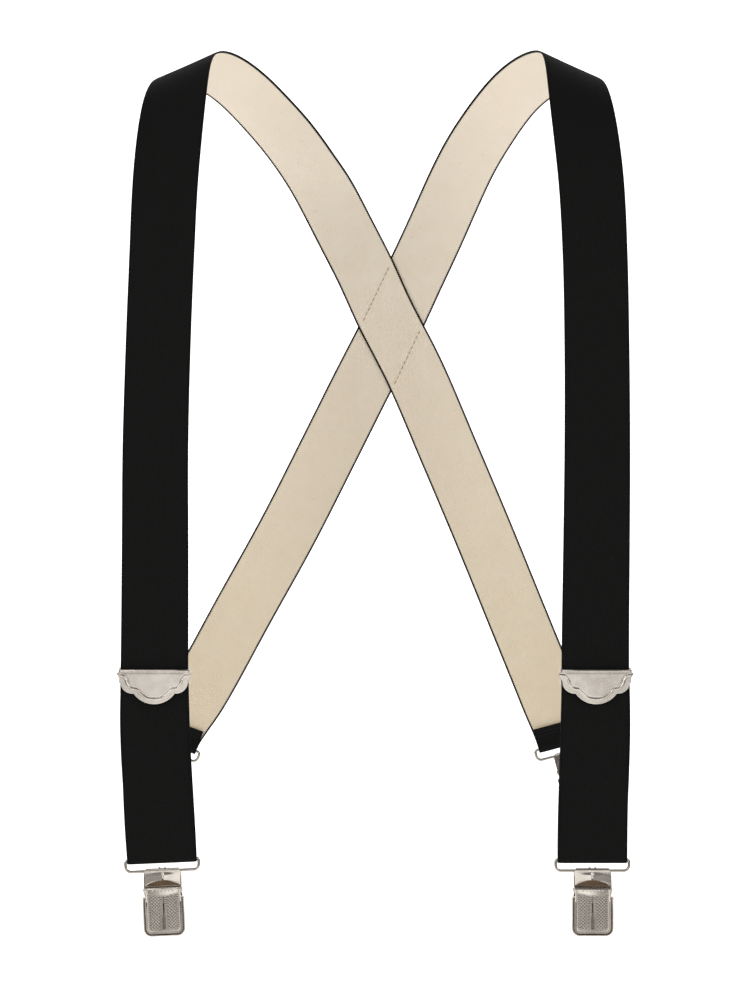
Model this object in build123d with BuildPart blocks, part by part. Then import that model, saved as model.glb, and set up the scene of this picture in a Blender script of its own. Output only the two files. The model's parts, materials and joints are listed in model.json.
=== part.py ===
"""Work suspenders: two elastic webbings crossed at the back, hung on wire bails and lever clips.

Frame: +Z up, +Y towards the wearer's back, +X towards the wearer's left.
The origin lies on the wearer's mid-plane, at the height of the shoulders that the straps rest on.
Lengths are in millimetres and angles in degrees.
"""
from build123d import *

import os
from math import cos, radians, sin

# Webbing
webbing_width = 51.0
webbing_thickness = 1.6
torso_front = -115.0        # centre plane of the front straps
torso_back = 115.0          # plane in which the two back straps meet
front_split = -300.0        # height where the fixed strap gives way to the adjustable loop
hem_length = 17.0
hem_gap = 0.1               # between the hem and the strap it is sewn to
straight_below = 8.0        # the loop hangs plumb to this far below the adjuster's cover

# Wire bail
wire_radius = 1.1
bail_side_gap = 0.9         # from the webbing's edge to the wire
bail_height = 8.5           # between the centres of its upper and lower bars
bail_corner_radius = 2.0
bail_foot_radius = 4.0      # at the ends of the lower bar
wire_end_gap = 1.2
fold_clearance = 0.2

# Clip
sheet = 0.8
sleeve_clearance = 0.1
sleeve_half_width = 14.2
flap_drop = 10.5
flap_arch_margin = 1.6      # from the flaps' sides to the arch between their feet
flap_arch_rise = 3.5
sleeve_step = 1.8           # how much narrower the sleeve is at its top than the plate below
axle_radius = 1.0
axle_clearance = 0.05
axle_drop = 14.0            # below the bail's lower bar
axle_stand = 2.2            # in front of the jaw's back face
rivet_head = 0.6            # thickness of the axle's heads
rivet_margin = 0.2          # from a head's edge to the edge of the lug
ear_shoulder = 1.5          # height over which the ears slope out from the sleeve
side_clearance = 0.3        # between ears, jaw lugs and lever
jaw_margin = 3.7            # from the lever's side to the jaw's
jaw_top_drop = 18.8
jaw_length = 29.9
lug_root = 4.0              # how far the jaw's lugs run down its plate
jaw_rim = 2.0
jaw_corner_radius = 6.0
jaw_clearance = 0.2         # from the flaps to the jaw's back face
bite_depth = 1.5            # from the jaw's back face to the plane where the teeth meet
teeth_count = 11
teeth_gap = 0.6
tooth_height = 0.7
lever_length = 30.7
lever_corner_radius = 2.0
lever_flange = 1.7
groove_start = 0.3          # share of the lever above its groove
spring_width = 10.0
spring_thickness = 0.4
spring_top_drop = 2.0       # below the jaw's top
spring_foot_rise = 8.0      # above the jaw's teeth

# Adjuster
adjuster_height = -465.0    # height of the cover's hinge
cover_overhang = 1.3        # past the frame's ears
cover_height = 24.7
cover_shoulder = (2.8, 7.2)     # small lobe's start: in from the cover's end, and below its hinge
small_lobe_middle = (6.2, 14.6)
cusp = (15.4, 16.6)             # between small and large lobe: from the middle, and below the hinge
large_lobe_middle = (8.2, 22.7)
frame_margin = 0.5          # from the webbing's edge to the frame's ears
frame_drop = 9.0
frame_rise = 2.6
webbing_clearance = 0.3
pin_radius = 0.6
pin_clearance = 0.02
pin_wall = 0.5              # metal round the pin in the frame's ears
barrel_radius = 1.6
tail_clearance = 0.4        # from the frame's plate to the tail

# Stitches
stitch_length = 3.0
stitch_pitch = 4.5
stitch_width = 0.6
stitch_height = 0.3
row_margin = 3.0            # from the edge of the strap behind to its row of stitches
row_end_margin = 5.5        # from the ends of a row to the edges of the strap in front
HEM_ROWS = (0.62, 0.78, 0.94)   # heights of a hem's rows, as shares of its length

# Derived sizes
half_width = webbing_width / 2
half_thickness = webbing_thickness / 2
fold_radius = wire_radius + fold_clearance + half_thickness
bail_half_span = half_width + bail_side_gap + wire_radius
sleeve_inner = wire_radius + sleeve_clearance
sleeve_outer = sleeve_inner + sheet
lower_bar_z = -bail_height
jaw_face_y = -(sleeve_outer + jaw_clearance)
bite_y = jaw_face_y + bite_depth
axle_y = jaw_face_y - axle_stand
axle_z = lower_bar_z - axle_drop
axle_bore = axle_radius + axle_clearance
jaw_top_z = lower_bar_z - jaw_top_drop
jaw_bottom_z = jaw_top_z - jaw_length
lug_outer = sleeve_half_width - sheet - side_clearance
lug_inner = lug_outer - sheet
lever_half_width = lug_inner - side_clearance
jaw_width = 2 * (lever_half_width + jaw_margin)
lip_width = jaw_width - 2 * jaw_corner_radius
lug_radius = axle_bore + sheet
lever_barrel = axle_bore + sheet
lever_front_y = axle_y - lever_barrel
lever_bottom_z = axle_z - lever_length
ear_inner = half_width + frame_margin
ear_outer = ear_inner + sheet
hinge_y = -(half_thickness + webbing_clearance + barrel_radius)
frame_plate_y = half_thickness + webbing_clearance
tail_bar_y = frame_plate_y + sheet + tail_clearance + half_thickness + fold_radius
cover_half = ear_outer + cover_overhang
ear_round = pin_radius + pin_wall

# Where each clip hangs: the centre of its bail's upper bar, its lean from the vertical and its side.
HANGERS = {
    "left_front": ((-161.0, torso_front + fold_radius, -606.2), 2.5, "front"),
    "right_front": ((162.0, torso_front + fold_radius, -606.2), 0.0, "front"),
    "left_back": ((-168.8, torso_back + half_thickness - fold_radius, -532.7), -20.0, "back"),
    "right_back": ((156.2, torso_back - half_thickness - fold_radius, -533.5), 15.0, "back"),
}
ADJUSTER_X = {"left": -166.5, "right": 164.5}

# Centre line of each strap from the front split, over the shoulder and down the back:
# x, y, z and the shoulder's slope there, which tips the webbing outwards.
LEFT_ROUTE = [
    (-163.7, -115.0, -220.0, 0), (-160.9, -114.5, -150.0, 2), (-158.6, -109.0, -95.0, 6),
    (-155.5, -97.0, -55.0, 12), (-152.5, -75.0, -25.0, 18), (-149.5, -45.0, -6.0, 23),
    (-144.8, -15.0, 2.0, 25), (-135.3, 15.0, 4.5, 24), (-120.8, 41.0, 0.5, 18),
    (-106.5, 62.0, -8.0, 7), (-89.0, 80.0, -24.5, -5), (-67.5, 94.0, -48.0, -15),
    (-54.0, 103.0, -67.0, -18), (-44.0, 110.5, -81.5, -17),
]
LEFT_BACK = [
    (-27.5, -113.0), (-9.0, -149.0), (6.0, -182.0), (31.0, -231.0), (59.0, -296.0),
    (86.5, -361.0), (113.0, -426.0), (141.0, -495.0),
]
RIGHT_ROUTE = [
    (165.3, -115.0, -220.0, 0), (163.9, -114.5, -150.0, 2), (161.4, -109.0, -95.0, 6),
    (157.5, -97.0, -55.0, 12), (154.5, -75.0, -25.0, 18), (152.5, -45.0, -6.0, 23),
    (149.5, -15.0, 2.3, 26), (140.7, 15.0, 4.3, 25), (126.0, 41.0, -0.5, 20),
    (112.2, 62.0, -10.0, 12), (101.0, 80.0, -22.0, 5), (88.5, 94.0, -39.2, 0),
    (77.0, 103.0, -57.0, -3), (64.5, 112.5, -82.5, -2),
]
RIGHT_BACK = [
    (49.5, -116.5), (32.0, -154.0), (13.0, -195.0), (-13.5, -247.0), (-38.0, -296.0),
    (-71.0, -361.0), (-107.0, -426.0), (-144.0, -493.0),
]
CROSSING = (13.0, -195.0)           # x and z of the middle of the crossing
RUN_BEHIND = (-0.43, -0.90)         # x and z direction of the right strap there, which lies behind
RUN_IN_FRONT = (0.44, -0.90)        # and of the left strap

os.makedirs("parts", exist_ok=True)


def write(piece, name):
    """Label one finished piece and write it to its own file."""
    piece.label = name
    export_step(piece, f"parts/{name}.step")


def section(centre, along, across):
    """Plane of one webbing section: its normal runs along the strap, its x across the webbing."""
    return Plane(origin=centre, x_dir=across, z_dir=along)


def webbing(planes):
    """Webbing skinned through its sections in order, straight from each to the next."""
    with BuildPart() as strap:
        for plane in planes:
            with BuildSketch(plane):
                Rectangle(webbing_width, webbing_thickness)
        loft(ruled=True)
    return strap.part


def lean_vectors(lean):
    """Downward and sideways unit vectors of a strap that leans from the vertical."""
    down = Vector(sin(radians(lean)), 0, -cos(radians(lean)))
    across = Vector(cos(radians(lean)), 0, sin(radians(lean)))
    return down, across


def fold(centre, lean, depthwise, first=0, last=180, steps=8):
    """Sections of webbing turning about a bar: from `first` to `last` degrees of turn.

    At 0 the webbing runs down beside the bar; depthwise is the direction, along Y, that it turns to.
    """
    down, across = lean_vectors(lean)
    depth = Vector(0, depthwise, 0)
    planes = []
    for step in range(steps + 1):
        turn = radians(first + (last - first) * step / steps)
        along = down * cos(turn) + depth * sin(turn)
        outward = down * sin(turn) - depth * cos(turn)
        planes.append(section(Vector(centre) + outward * fold_radius, along, across))
    return planes


def shoulder_strap(route, back_points, back_y, slope_side, side, hanger):
    """Sections of one fixed strap, from the front split to its hem around the back bail."""
    points = [Vector(ADJUSTER_X[side], torso_front, front_split)]
    points += [Vector(x, y, z) for x, y, z, slope in route]
    points += [Vector(x, back_y, z) for x, z in back_points]
    slopes = [0] + [slope for x, y, z, slope in route] + [0] * len(back_points)
    centre, lean, face = HANGERS[hanger]
    down, across = lean_vectors(lean)
    end = Vector(centre) + Vector(0, fold_radius, 0)
    planes = [section(points[0], (0, 0, 1), (1, 0, 0))]
    for before, point, after, slope in zip(points, points[1:], points[2:] + [end], slopes[1:]):
        along = after - before
        if point.Y == back_y:
            along = Vector(along.X, 0, along.Z)
        along = along.normalized()
        ridge = Vector(cos(radians(slope)), 0, slope_side * sin(radians(slope)))
        sideways = (ridge - along * ridge.dot(along)).normalized()
        planes.append(section(point, along, sideways))
    planes += fold(centre, lean, -1)
    planes += hem(centre, lean, -1, -down)
    return planes


def hem(centre, lean, depthwise, away):
    """Sections of the turned-in end: it closes on the strap it is sewn to, then lies flat on it."""
    down, across = lean_vectors(lean)
    strap_line = Vector(centre) - Vector(0, depthwise * fold_radius, 0)
    sewn_line = strap_line + Vector(0, depthwise * (webbing_thickness + hem_gap), 0)
    start = sewn_line + away * (hem_length / 2)
    return [section(start, away, across), section(sewn_line + away * hem_length, away, across)]


def adjustable_loop(side):
    """Sections of the front loop: down the front, round the bail, up behind and round the tail bar."""
    centre, lean, face = HANGERS[f"{side}_front"]
    down, across = lean_vectors(lean)
    up = Vector(0, 0, 1)
    adjuster = Vector(ADJUSTER_X[side], torso_front, adjuster_height)
    split = Vector(ADJUSTER_X[side], torso_front, front_split)
    tail_bar = adjuster + Vector(0, tail_bar_y, 0)
    below = adjuster - up * (cover_height + straight_below)
    tail_foot = Vector(below.X, tail_bar.Y - fold_radius, below.Z)
    level = (1, 0, 0)
    planes = [section(split, -up, level), section(adjuster, -up, level), section(below, -up, level)]
    planes += fold(centre, lean, 1)
    planes += [section(tail_foot, up, level)]
    planes += fold_over(tail_bar)
    sewn = Vector(tail_bar.X, tail_bar.Y - fold_radius + webbing_thickness + hem_gap, tail_bar.Z)
    planes += [section(sewn - up * (hem_length / 2), -up, level)]
    planes += [section(sewn - up * hem_length, -up, level)]
    return planes


def fold_over(bar, steps=8):
    """Sections of webbing that comes up in front of a bar and turns back over it."""
    planes = []
    for step in range(steps + 1):
        turn = radians(180 * step / steps)
        along = Vector(0, sin(turn), cos(turn))
        outward = Vector(0, -cos(turn), sin(turn))
        planes.append(section(bar + outward * fold_radius, along, (1, 0, 0)))
    return planes


def bail():
    """Wire loop, closed but for the gap between its two ends at the middle of the lower bar."""
    with BuildPart() as ring:
        with BuildLine(Plane.XZ) as path:
            FilletPolyline(
                (wire_end_gap / 2, lower_bar_z),
                (bail_half_span, lower_bar_z),
                (bail_half_span, 0),
                (-bail_half_span, 0),
                (-bail_half_span, lower_bar_z),
                (-wire_end_gap / 2, lower_bar_z),
                radius=[bail_foot_radius, bail_corner_radius, bail_corner_radius, bail_foot_radius],
            )
        with BuildSketch(Plane(origin=(wire_end_gap / 2, 0, lower_bar_z), z_dir=(1, 0, 0))):
            Circle(wire_radius)
        sweep()
    return ring.part


def tooth_cutter(tip_y, depth):
    """Notches between the teeth of a lip whose tips stand at tip_y; depth runs from tip to root."""
    pitch = lip_width / teeth_count
    with BuildPart() as cutter:
        with BuildSketch(Plane.XY.offset(jaw_bottom_z - sheet / 2)):
            with BuildLine():
                Polyline((-pitch / 2, tip_y), (0, tip_y + depth), (pitch / 2, tip_y), close=True)
            notch = make_face()
            with GridLocations(pitch, 0, teeth_count + 1, 1):
                add(notch)
        extrude(amount=2 * sheet)
    return cutter.part


def clip_base():
    """Sleeve wrapped round the lower bar, two front flaps, the back jaw plate and the axle's ears."""
    plate_y = sleeve_inner
    lip_tip = bite_y + teeth_gap / 2
    with BuildPart() as base:
        with BuildSketch(Plane.YZ):
            with Locations((0, lower_bar_z)):
                Circle(sleeve_outer)
            with Locations((0, lower_bar_z - flap_drop / 2)):
                Rectangle(2 * sleeve_outer, flap_drop)
            with Locations((0, lower_bar_z)):
                Circle(sleeve_inner, mode=Mode.SUBTRACT)
            with Locations((0, lower_bar_z - flap_drop / 2)):
                Rectangle(2 * sleeve_inner, flap_drop, mode=Mode.SUBTRACT)
        extrude(amount=sleeve_half_width, both=True)
        with BuildSketch(Plane.YZ):
            with Locations((-sleeve_outer, lower_bar_z - (sleeve_outer + flap_drop) / 2)):
                Rectangle(2 * sheet, flap_drop)
        extrude(amount=wire_end_gap / 2, both=True, mode=Mode.SUBTRACT)
        with BuildSketch(Plane.XZ.offset(sleeve_outer)):
            foot = lower_bar_z - flap_drop
            half = sleeve_half_width - flap_arch_margin
            with BuildLine():
                ThreePointArc((-half, foot), (0, foot + flap_arch_rise), (half, foot))
                Polyline((half, foot), (half, foot - sheet), (-half, foot - sheet), (-half, foot))
            make_face()
        extrude(amount=-sheet, mode=Mode.SUBTRACT)
        plate_height = lower_bar_z - jaw_bottom_z
        with BuildSketch(Plane.XZ.offset(-plate_y)) as plate:
            with Locations((0, lower_bar_z - plate_height / 2)):
                Rectangle(2 * sleeve_half_width, plate_height)
            fillet(plate.vertices().group_by(Axis.Y)[0], jaw_corner_radius - sheet)
        extrude(amount=-sheet)
        with BuildSketch(Plane.XY.offset(jaw_bottom_z)):
            with Locations((0, (plate_y + lip_tip) / 2)):
                Rectangle(lip_width, plate_y - lip_tip)
        extrude(amount=sheet)
        add(tooth_cutter(lip_tip, tooth_height), mode=Mode.SUBTRACT)
        for side in (-1, 1):
            outer = side * sleeve_half_width
            with BuildSketch(Plane.YZ.offset(outer)):
                with BuildLine():
                    Polyline(
                        (plate_y + sheet, lower_bar_z - sleeve_outer),
                        (-sleeve_outer, lower_bar_z - sleeve_outer - ear_shoulder),
                        (axle_y - lug_radius, axle_z + lug_radius),
                        (axle_y - lug_radius, axle_z - lug_radius),
                        (axle_y + lug_radius, jaw_top_z + sheet),
                        (plate_y + sheet, jaw_top_z + sheet),
                        close=True,
                    )
                make_face()
                with Locations((axle_y, axle_z)):
                    Circle(axle_radius + pin_clearance, mode=Mode.SUBTRACT)
            extrude(amount=-side * sheet)
            top = lower_bar_z + sleeve_outer
            with BuildSketch(Plane.XZ.offset(sleeve_outer)):
                with BuildLine():
                    Polyline(
                        (outer - side * sleeve_step, top),
                        (outer, lower_bar_z - sleeve_outer),
                        (outer + side * sheet, lower_bar_z - sleeve_outer),
                        (outer + side * sheet, top + sheet),
                        (outer - side * sleeve_step, top + sheet),
                        close=True,
                    )
                make_face()
            extrude(amount=-2 * sleeve_outer, mode=Mode.SUBTRACT)
    return base.part


def clip_axle():
    """Rivet through the ears, the jaw's lugs and the lever's barrel, headed outside each ear."""
    with BuildPart() as axle:
        with BuildSketch(Plane.YZ):
            with Locations((axle_y, axle_z)):
                Circle(axle_radius)
        extrude(amount=sleeve_half_width + rivet_head, both=True)
        for side in (-1, 1):
            with BuildSketch(Plane.YZ.offset(side * sleeve_half_width)):
                with Locations((axle_y, axle_z)):
                    Circle(lug_radius - rivet_margin)
            extrude(amount=side * rivet_head)
    return axle.part


def clip_spring():
    """Bowed leaf spring that stands on the back plate and leans towards the jaw."""
    foot_y = sleeve_inner
    crown_y = jaw_face_y + spring_thickness
    top_z = jaw_top_z - spring_top_drop
    bottom_z = jaw_bottom_z + spring_foot_rise
    middle_z = (top_z + bottom_z) / 2
    with BuildPart() as spring:
        with BuildSketch(Plane.YZ):
            with BuildLine():
                ThreePointArc((foot_y, top_z), (crown_y, middle_z), (foot_y, bottom_z))
                Line((foot_y, bottom_z), (foot_y, bottom_z + 2 * spring_thickness))
                ThreePointArc(
                    (foot_y, bottom_z + 2 * spring_thickness),
                    (crown_y + spring_thickness, middle_z),
                    (foot_y, top_z - 2 * spring_thickness),
                )
                Line((foot_y, top_z - 2 * spring_thickness), (foot_y, top_z))
            make_face()
        extrude(amount=spring_width / 2, both=True)
    return spring.part


def clip_jaw():
    """Front jaw: a shallow tray with a toothed lip, hung from the axle by two lugs."""
    height = jaw_top_z - jaw_bottom_z
    lip_tip = bite_y - teeth_gap / 2
    with BuildPart() as jaw:
        with BuildSketch(Plane.XZ.offset(-jaw_face_y)) as outline:
            with Locations((0, jaw_bottom_z + height / 2)):
                Rectangle(jaw_width, height)
            fillet(outline.vertices().group_by(Axis.Y)[0], jaw_corner_radius)
            fillet(outline.vertices().group_by(Axis.Y)[-1], sheet)
        extrude(amount=sheet + jaw_rim)
        with BuildSketch(Plane.XZ.offset(-jaw_face_y + sheet)) as tray:
            with Locations((0, jaw_bottom_z + sheet + height / 2)):
                Rectangle(jaw_width - 2 * sheet, height)
            fillet(tray.vertices().group_by(Axis.Y)[0], jaw_corner_radius - sheet)
        extrude(amount=jaw_rim, mode=Mode.SUBTRACT)
        with BuildSketch(Plane.XY.offset(jaw_bottom_z)):
            with Locations((0, (jaw_face_y + lip_tip) / 2)):
                Rectangle(lip_width, lip_tip - jaw_face_y)
        extrude(amount=sheet)
        add(tooth_cutter(lip_tip, -tooth_height), mode=Mode.SUBTRACT)
        for side in (-1, 1):
            with BuildSketch(Plane.YZ.offset(side * lug_outer)):
                with BuildLine():
                    Polyline(
                        (jaw_face_y, jaw_top_z - lug_root),
                        (jaw_face_y - 2 * sheet, jaw_top_z - lug_root),
                        (axle_y - lug_radius, axle_z),
                        (jaw_face_y, axle_z),
                        close=True,
                    )
                make_face()
                with Locations((axle_y, axle_z)):
                    Circle(lug_radius)
                    Circle(axle_bore, mode=Mode.SUBTRACT)
            extrude(amount=-side * sheet)
    return jaw.part


def clip_lever():
    """Thumb lever: a barrel on the axle, a grooved plate and two side flanges turned back."""
    with BuildPart() as lever:
        with BuildSketch(Plane.XZ.offset(-lever_front_y)) as outline:
            with Locations((0, (axle_z + lever_bottom_z) / 2)):
                Rectangle(2 * lever_half_width, axle_z - lever_bottom_z)
            fillet(outline.vertices().group_by(Axis.Y)[0], lever_corner_radius)
        extrude(amount=-sheet)
        with BuildSketch(Plane.YZ):
            with Locations((axle_y, axle_z)):
                Circle(lever_barrel)
        extrude(amount=lever_half_width, both=True)
        for side in (-1, 1):
            flange_y = lever_front_y + sheet + lever_flange / 2
            with BuildSketch(Plane.YZ.offset(side * lever_half_width)):
                with Locations((flange_y, (axle_z + lever_bottom_z) / 2)):
                    Rectangle(lever_flange, axle_z - lever_bottom_z - 2 * lever_corner_radius)
            extrude(amount=-side * sheet)
        with BuildSketch(Plane.YZ):
            with Locations((axle_y, axle_z)):
                Circle(axle_bore)
        extrude(amount=lever_half_width, both=True, mode=Mode.SUBTRACT)
        groove_top = axle_z - lever_length * groove_start
        with BuildSketch(Plane.XZ.offset(-lever_front_y)):
            with Locations((0, (groove_top + lever_bottom_z) / 2)):
                Rectangle(sheet, groove_top - lever_bottom_z - sheet)
        extrude(amount=-sheet / 2, mode=Mode.SUBTRACT)
    return lever.part


def adjuster_frame():
    """Plate behind the strap with two ears that carry the cover's pin and the tail's bar."""
    with BuildPart() as frame:
        with BuildSketch(Plane.XZ.offset(-frame_plate_y)):
            with Locations((0, (frame_rise - frame_drop) / 2)):
                Rectangle(2 * ear_outer, frame_rise + frame_drop)
        extrude(amount=-sheet)
        for side in (-1, 1):
            with BuildSketch(Plane.YZ.offset(side * ear_outer)):
                with Locations((hinge_y, 0)):
                    Circle(ear_round)
                with BuildLine():
                    Polyline(
                        (hinge_y, ear_round),
                        (tail_bar_y + wire_radius, ear_round),
                        (tail_bar_y + wire_radius, -ear_round),
                        (hinge_y, -ear_round),
                        close=True,
                    )
                make_face()
                with Locations((hinge_y, 0)):
                    Circle(pin_radius + pin_clearance, mode=Mode.SUBTRACT)
            extrude(amount=-side * sheet)
        with BuildSketch(Plane.YZ):
            with Locations((tail_bar_y, 0)):
                Circle(wire_radius)
        extrude(amount=ear_inner, both=True)
    return frame.part


def adjuster_pin():
    """Pin on which the cover turns, flush with the frame's ears."""
    with BuildPart() as pin:
        with BuildSketch(Plane.YZ):
            with Locations((hinge_y, 0)):
                Circle(pin_radius)
        extrude(amount=ear_outer, both=True)
    return pin.part


def adjuster_cover():
    """Lever cover: a scalloped plate, one deep lobe between two small ones, on a rolled edge."""
    plate_y = hinge_y - barrel_radius - sheet / 2
    plate_top = sheet / 2
    bore = pin_radius + axle_clearance
    shoulder = (cover_half - cover_shoulder[0], -cover_shoulder[1])
    small_lobe = (cover_half - small_lobe_middle[0], -small_lobe_middle[1])
    large_lobe = (large_lobe_middle[0], -large_lobe_middle[1])
    meeting = (cusp[0], -cusp[1])
    with BuildPart() as cover:
        with BuildSketch(Plane.XZ.offset(-plate_y)):
            with BuildLine():
                Polyline((0, plate_top), (cover_half, plate_top), (cover_half, -2 * sheet), shoulder)
                ThreePointArc(shoulder, small_lobe, meeting)
                ThreePointArc(meeting, large_lobe, (0, -cover_height))
                mirror(about=Plane.YZ)
            make_face()
        extrude(amount=-sheet)
        with BuildSketch(Plane.YZ):
            with Locations((hinge_y, 0)):
                Circle(barrel_radius)
        extrude(amount=half_width, both=True)
        with BuildSketch(Plane.YZ):
            with Locations((hinge_y, 0)):
                Circle(bore)
        extrude(amount=half_width, both=True, mode=Mode.SUBTRACT)
    return cover.part


def stitch_row(start, direction, count):
    """One row of raised stitches on a plane's face, laid end to end along a direction."""
    turned = direction.get_angle(Vector(1, 0, 0))
    for index in range(count):
        place = start + direction * (stitch_pitch * index)
        with Locations(Location((place.X, place.Y), turned if direction.Y >= 0 else -turned)):
            Rectangle(stitch_length, stitch_width)


def hem_stitches(hanger):
    """Three rows of stitches across the hem of a back strap, on the wearer's side."""
    centre, lean, side = HANGERS[hanger]
    down, across = lean_vectors(lean)
    face = Vector(centre) + Vector(0, fold_radius - hem_gap - webbing_thickness - half_thickness, 0)
    count = int((webbing_width - 2 * row_margin) / stitch_pitch)
    with BuildPart() as thread:
        with BuildSketch(Plane(origin=face, x_dir=across, z_dir=(0, -1, 0))):
            for share in HEM_ROWS:
                start = Vector(-stitch_pitch * (count - 1) / 2, hem_length * share, 0)
                stitch_row(start, Vector(1, 0, 0), count)
        extrude(amount=stitch_height)
    return thread.part


def crossing_stitches():
    """Two rows of stitches that fasten the crossing, along the edges of the strap behind.

    The middle of each row is on the centre line of the strap in front.
    """
    row = Vector(*RUN_BEHIND).normalized()
    centre_line = Vector(*RUN_IN_FRONT).normalized()
    slant = abs(row.cross(centre_line).Z)
    row_length = (webbing_width - 2 * row_end_margin) / slant
    count = int(row_length / stitch_pitch)
    half_row = row * (stitch_pitch * (count - 1) / 2)
    with BuildPart() as thread:
        with BuildSketch(Plane.XZ.offset(webbing_thickness - torso_back)):
            for side in (-1, 1):
                middle = Vector(*CROSSING) + centre_line * (side * (half_width - row_margin) / slant)
                stitch_row(middle - half_row, row, count)
        extrude(amount=stitch_height)
    return thread.part


def hanger_plane(hanger):
    """Frame of one clip: x along the bail's bar, z up the strap, -y out from the wearer."""
    centre, lean, side = HANGERS[hanger]
    down, across = lean_vectors(lean)
    facing = 1 if side == "front" else -1
    return Plane(origin=centre, x_dir=across * facing, z_dir=-down)


def adjuster_plane(side):
    """Frame of one adjuster: its hinge's height, in the front strap's centre plane."""
    return Plane(origin=(ADJUSTER_X[side], torso_front, adjuster_height), x_dir=(1, 0, 0), z_dir=(0, 0, 1))


def build():
    """Make every piece and write it."""
    left_planes = shoulder_strap(
        LEFT_ROUTE, LEFT_BACK, torso_back - half_thickness, 1, "left", "right_back"
    )
    right_planes = shoulder_strap(
        RIGHT_ROUTE, RIGHT_BACK, torso_back + half_thickness, -1, "right", "left_back"
    )
    write(webbing(left_planes), "left_strap")
    write(webbing(right_planes), "right_strap")
    write(crossing_stitches(), "crossing_stitches")
    for side in ("left", "right"):
        write(hem_stitches(f"{side}_back"), f"{side}_back_hem_stitches")
        write(webbing(adjustable_loop(side)), f"{side}_front_loop")
        place = adjuster_plane(side).location
        write(adjuster_frame().moved(place), f"{side}_adjuster_frame")
        write(adjuster_pin().moved(place), f"{side}_adjuster_pin")
        write(adjuster_cover().moved(place), f"{side}_adjuster_cover")
    for hanger in HANGERS:
        place = hanger_plane(hanger).location
        write(bail().moved(place), f"{hanger}_bail")
        write(clip_base().moved(place), f"{hanger}_clip_base")
        write(clip_axle().moved(place), f"{hanger}_clip_axle")
        write(clip_spring().moved(place), f"{hanger}_clip_spring")
        write(clip_jaw().moved(place), f"{hanger}_clip_jaw")
        write(clip_lever().moved(place), f"{hanger}_clip_lever")


build()
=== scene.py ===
"""Work suspenders: elastic webbing crossed at the back, nickel adjusters, wire bails and lever clips.

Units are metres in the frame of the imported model: +Z up, +Y towards the wearer's back. Sizes in the
classes below are in millimetres and are turned to metres once, when a mesh is made.
"""
import json
import logging
from dataclasses import dataclass, field
from enum import Enum
from typing import Any

import bmesh
import bpy
import numpy as np
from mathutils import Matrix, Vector

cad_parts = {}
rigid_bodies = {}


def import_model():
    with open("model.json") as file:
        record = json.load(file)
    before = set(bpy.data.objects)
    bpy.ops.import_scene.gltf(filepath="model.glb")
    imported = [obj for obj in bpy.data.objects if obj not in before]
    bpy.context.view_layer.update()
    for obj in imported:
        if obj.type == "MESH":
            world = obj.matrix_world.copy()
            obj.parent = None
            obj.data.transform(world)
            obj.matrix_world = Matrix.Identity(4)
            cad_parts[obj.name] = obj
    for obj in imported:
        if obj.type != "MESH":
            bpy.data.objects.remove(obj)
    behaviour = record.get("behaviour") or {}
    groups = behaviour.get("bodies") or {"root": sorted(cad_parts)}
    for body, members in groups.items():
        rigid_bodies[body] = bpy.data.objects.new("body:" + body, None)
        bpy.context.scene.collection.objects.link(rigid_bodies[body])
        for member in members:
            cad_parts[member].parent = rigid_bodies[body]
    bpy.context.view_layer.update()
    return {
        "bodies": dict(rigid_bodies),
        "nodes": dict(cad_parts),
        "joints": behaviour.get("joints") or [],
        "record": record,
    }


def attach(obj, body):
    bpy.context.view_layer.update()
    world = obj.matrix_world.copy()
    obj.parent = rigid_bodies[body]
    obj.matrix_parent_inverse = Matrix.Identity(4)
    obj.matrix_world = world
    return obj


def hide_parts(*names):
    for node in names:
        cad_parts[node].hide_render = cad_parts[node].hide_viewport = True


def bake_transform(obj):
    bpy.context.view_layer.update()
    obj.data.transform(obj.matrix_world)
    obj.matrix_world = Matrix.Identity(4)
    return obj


LOG = logging.getLogger("suspenders")
MM = 0.001
PATH_STEP = 0.8    # mm between points of a strap's path
CREASE = np.radians(40.0)  # edges that turn more than this stay sharp
MILLIMETRES = (1000.0, 1000.0, 1000.0)  # scale that turns object coordinates to millimetres
BAR_POINTS = 17    # stations of a strap round a bar
Array = np.ndarray


class Side(Enum):
    """The two straps, by the side that their front run is on as seen from the front."""

    LEFT = "left"
    RIGHT = "right"


class Hanger(Enum):
    """The four places where a bail and its clip hang."""

    LEFT_FRONT = "left_front"
    RIGHT_FRONT = "right_front"
    LEFT_BACK = "left_back"
    RIGHT_BACK = "right_back"


# ---------------------------------------------------------------- meshes


@dataclass
class Patch:
    """Part of a surface: points in millimetres, faces, and named values for each point."""

    points: Array
    faces: Array
    values: dict[str, Array] = field(default_factory=dict)


def grid_faces(rows: int, columns: int, wrap_rows: bool = False, wrap_columns: bool = False) -> Array:
    """Quads that join each point of a grid to the next in its row and column.

    Args:
        rows: Number of rows of points.
        columns: Number of points in a row.
        wrap_rows: Whether the last row joins the first.
        wrap_columns: Whether the last column joins the first.

    Returns:
        Point numbers, four to a face.
    """
    row = np.arange(rows if wrap_rows else rows - 1)[:, None]
    column = np.arange(columns if wrap_columns else columns - 1)[None, :]
    below, right = (row + 1) % rows, (column + 1) % columns
    quads = np.stack(
        [row * columns + column, row * columns + right, below * columns + right, below * columns + column],
        axis=-1,
    )
    return quads.reshape(-1, 4)


def cap_faces(first: int, count: int, reverse: bool) -> Array:
    """Strip of quads across a closed ring of points, from one half of the ring to the other.

    Args:
        first: Number of the ring's first point.
        count: Points in the ring, an even number.
        reverse: Whether the strip faces the other way.

    Returns:
        Point numbers, four to a face.
    """
    step = np.arange(count // 2 - 1)
    quads = first + np.stack([step, step + 1, count - 2 - step, count - 1 - step], axis=-1)
    return quads[:, ::-1] if reverse else quads


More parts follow.
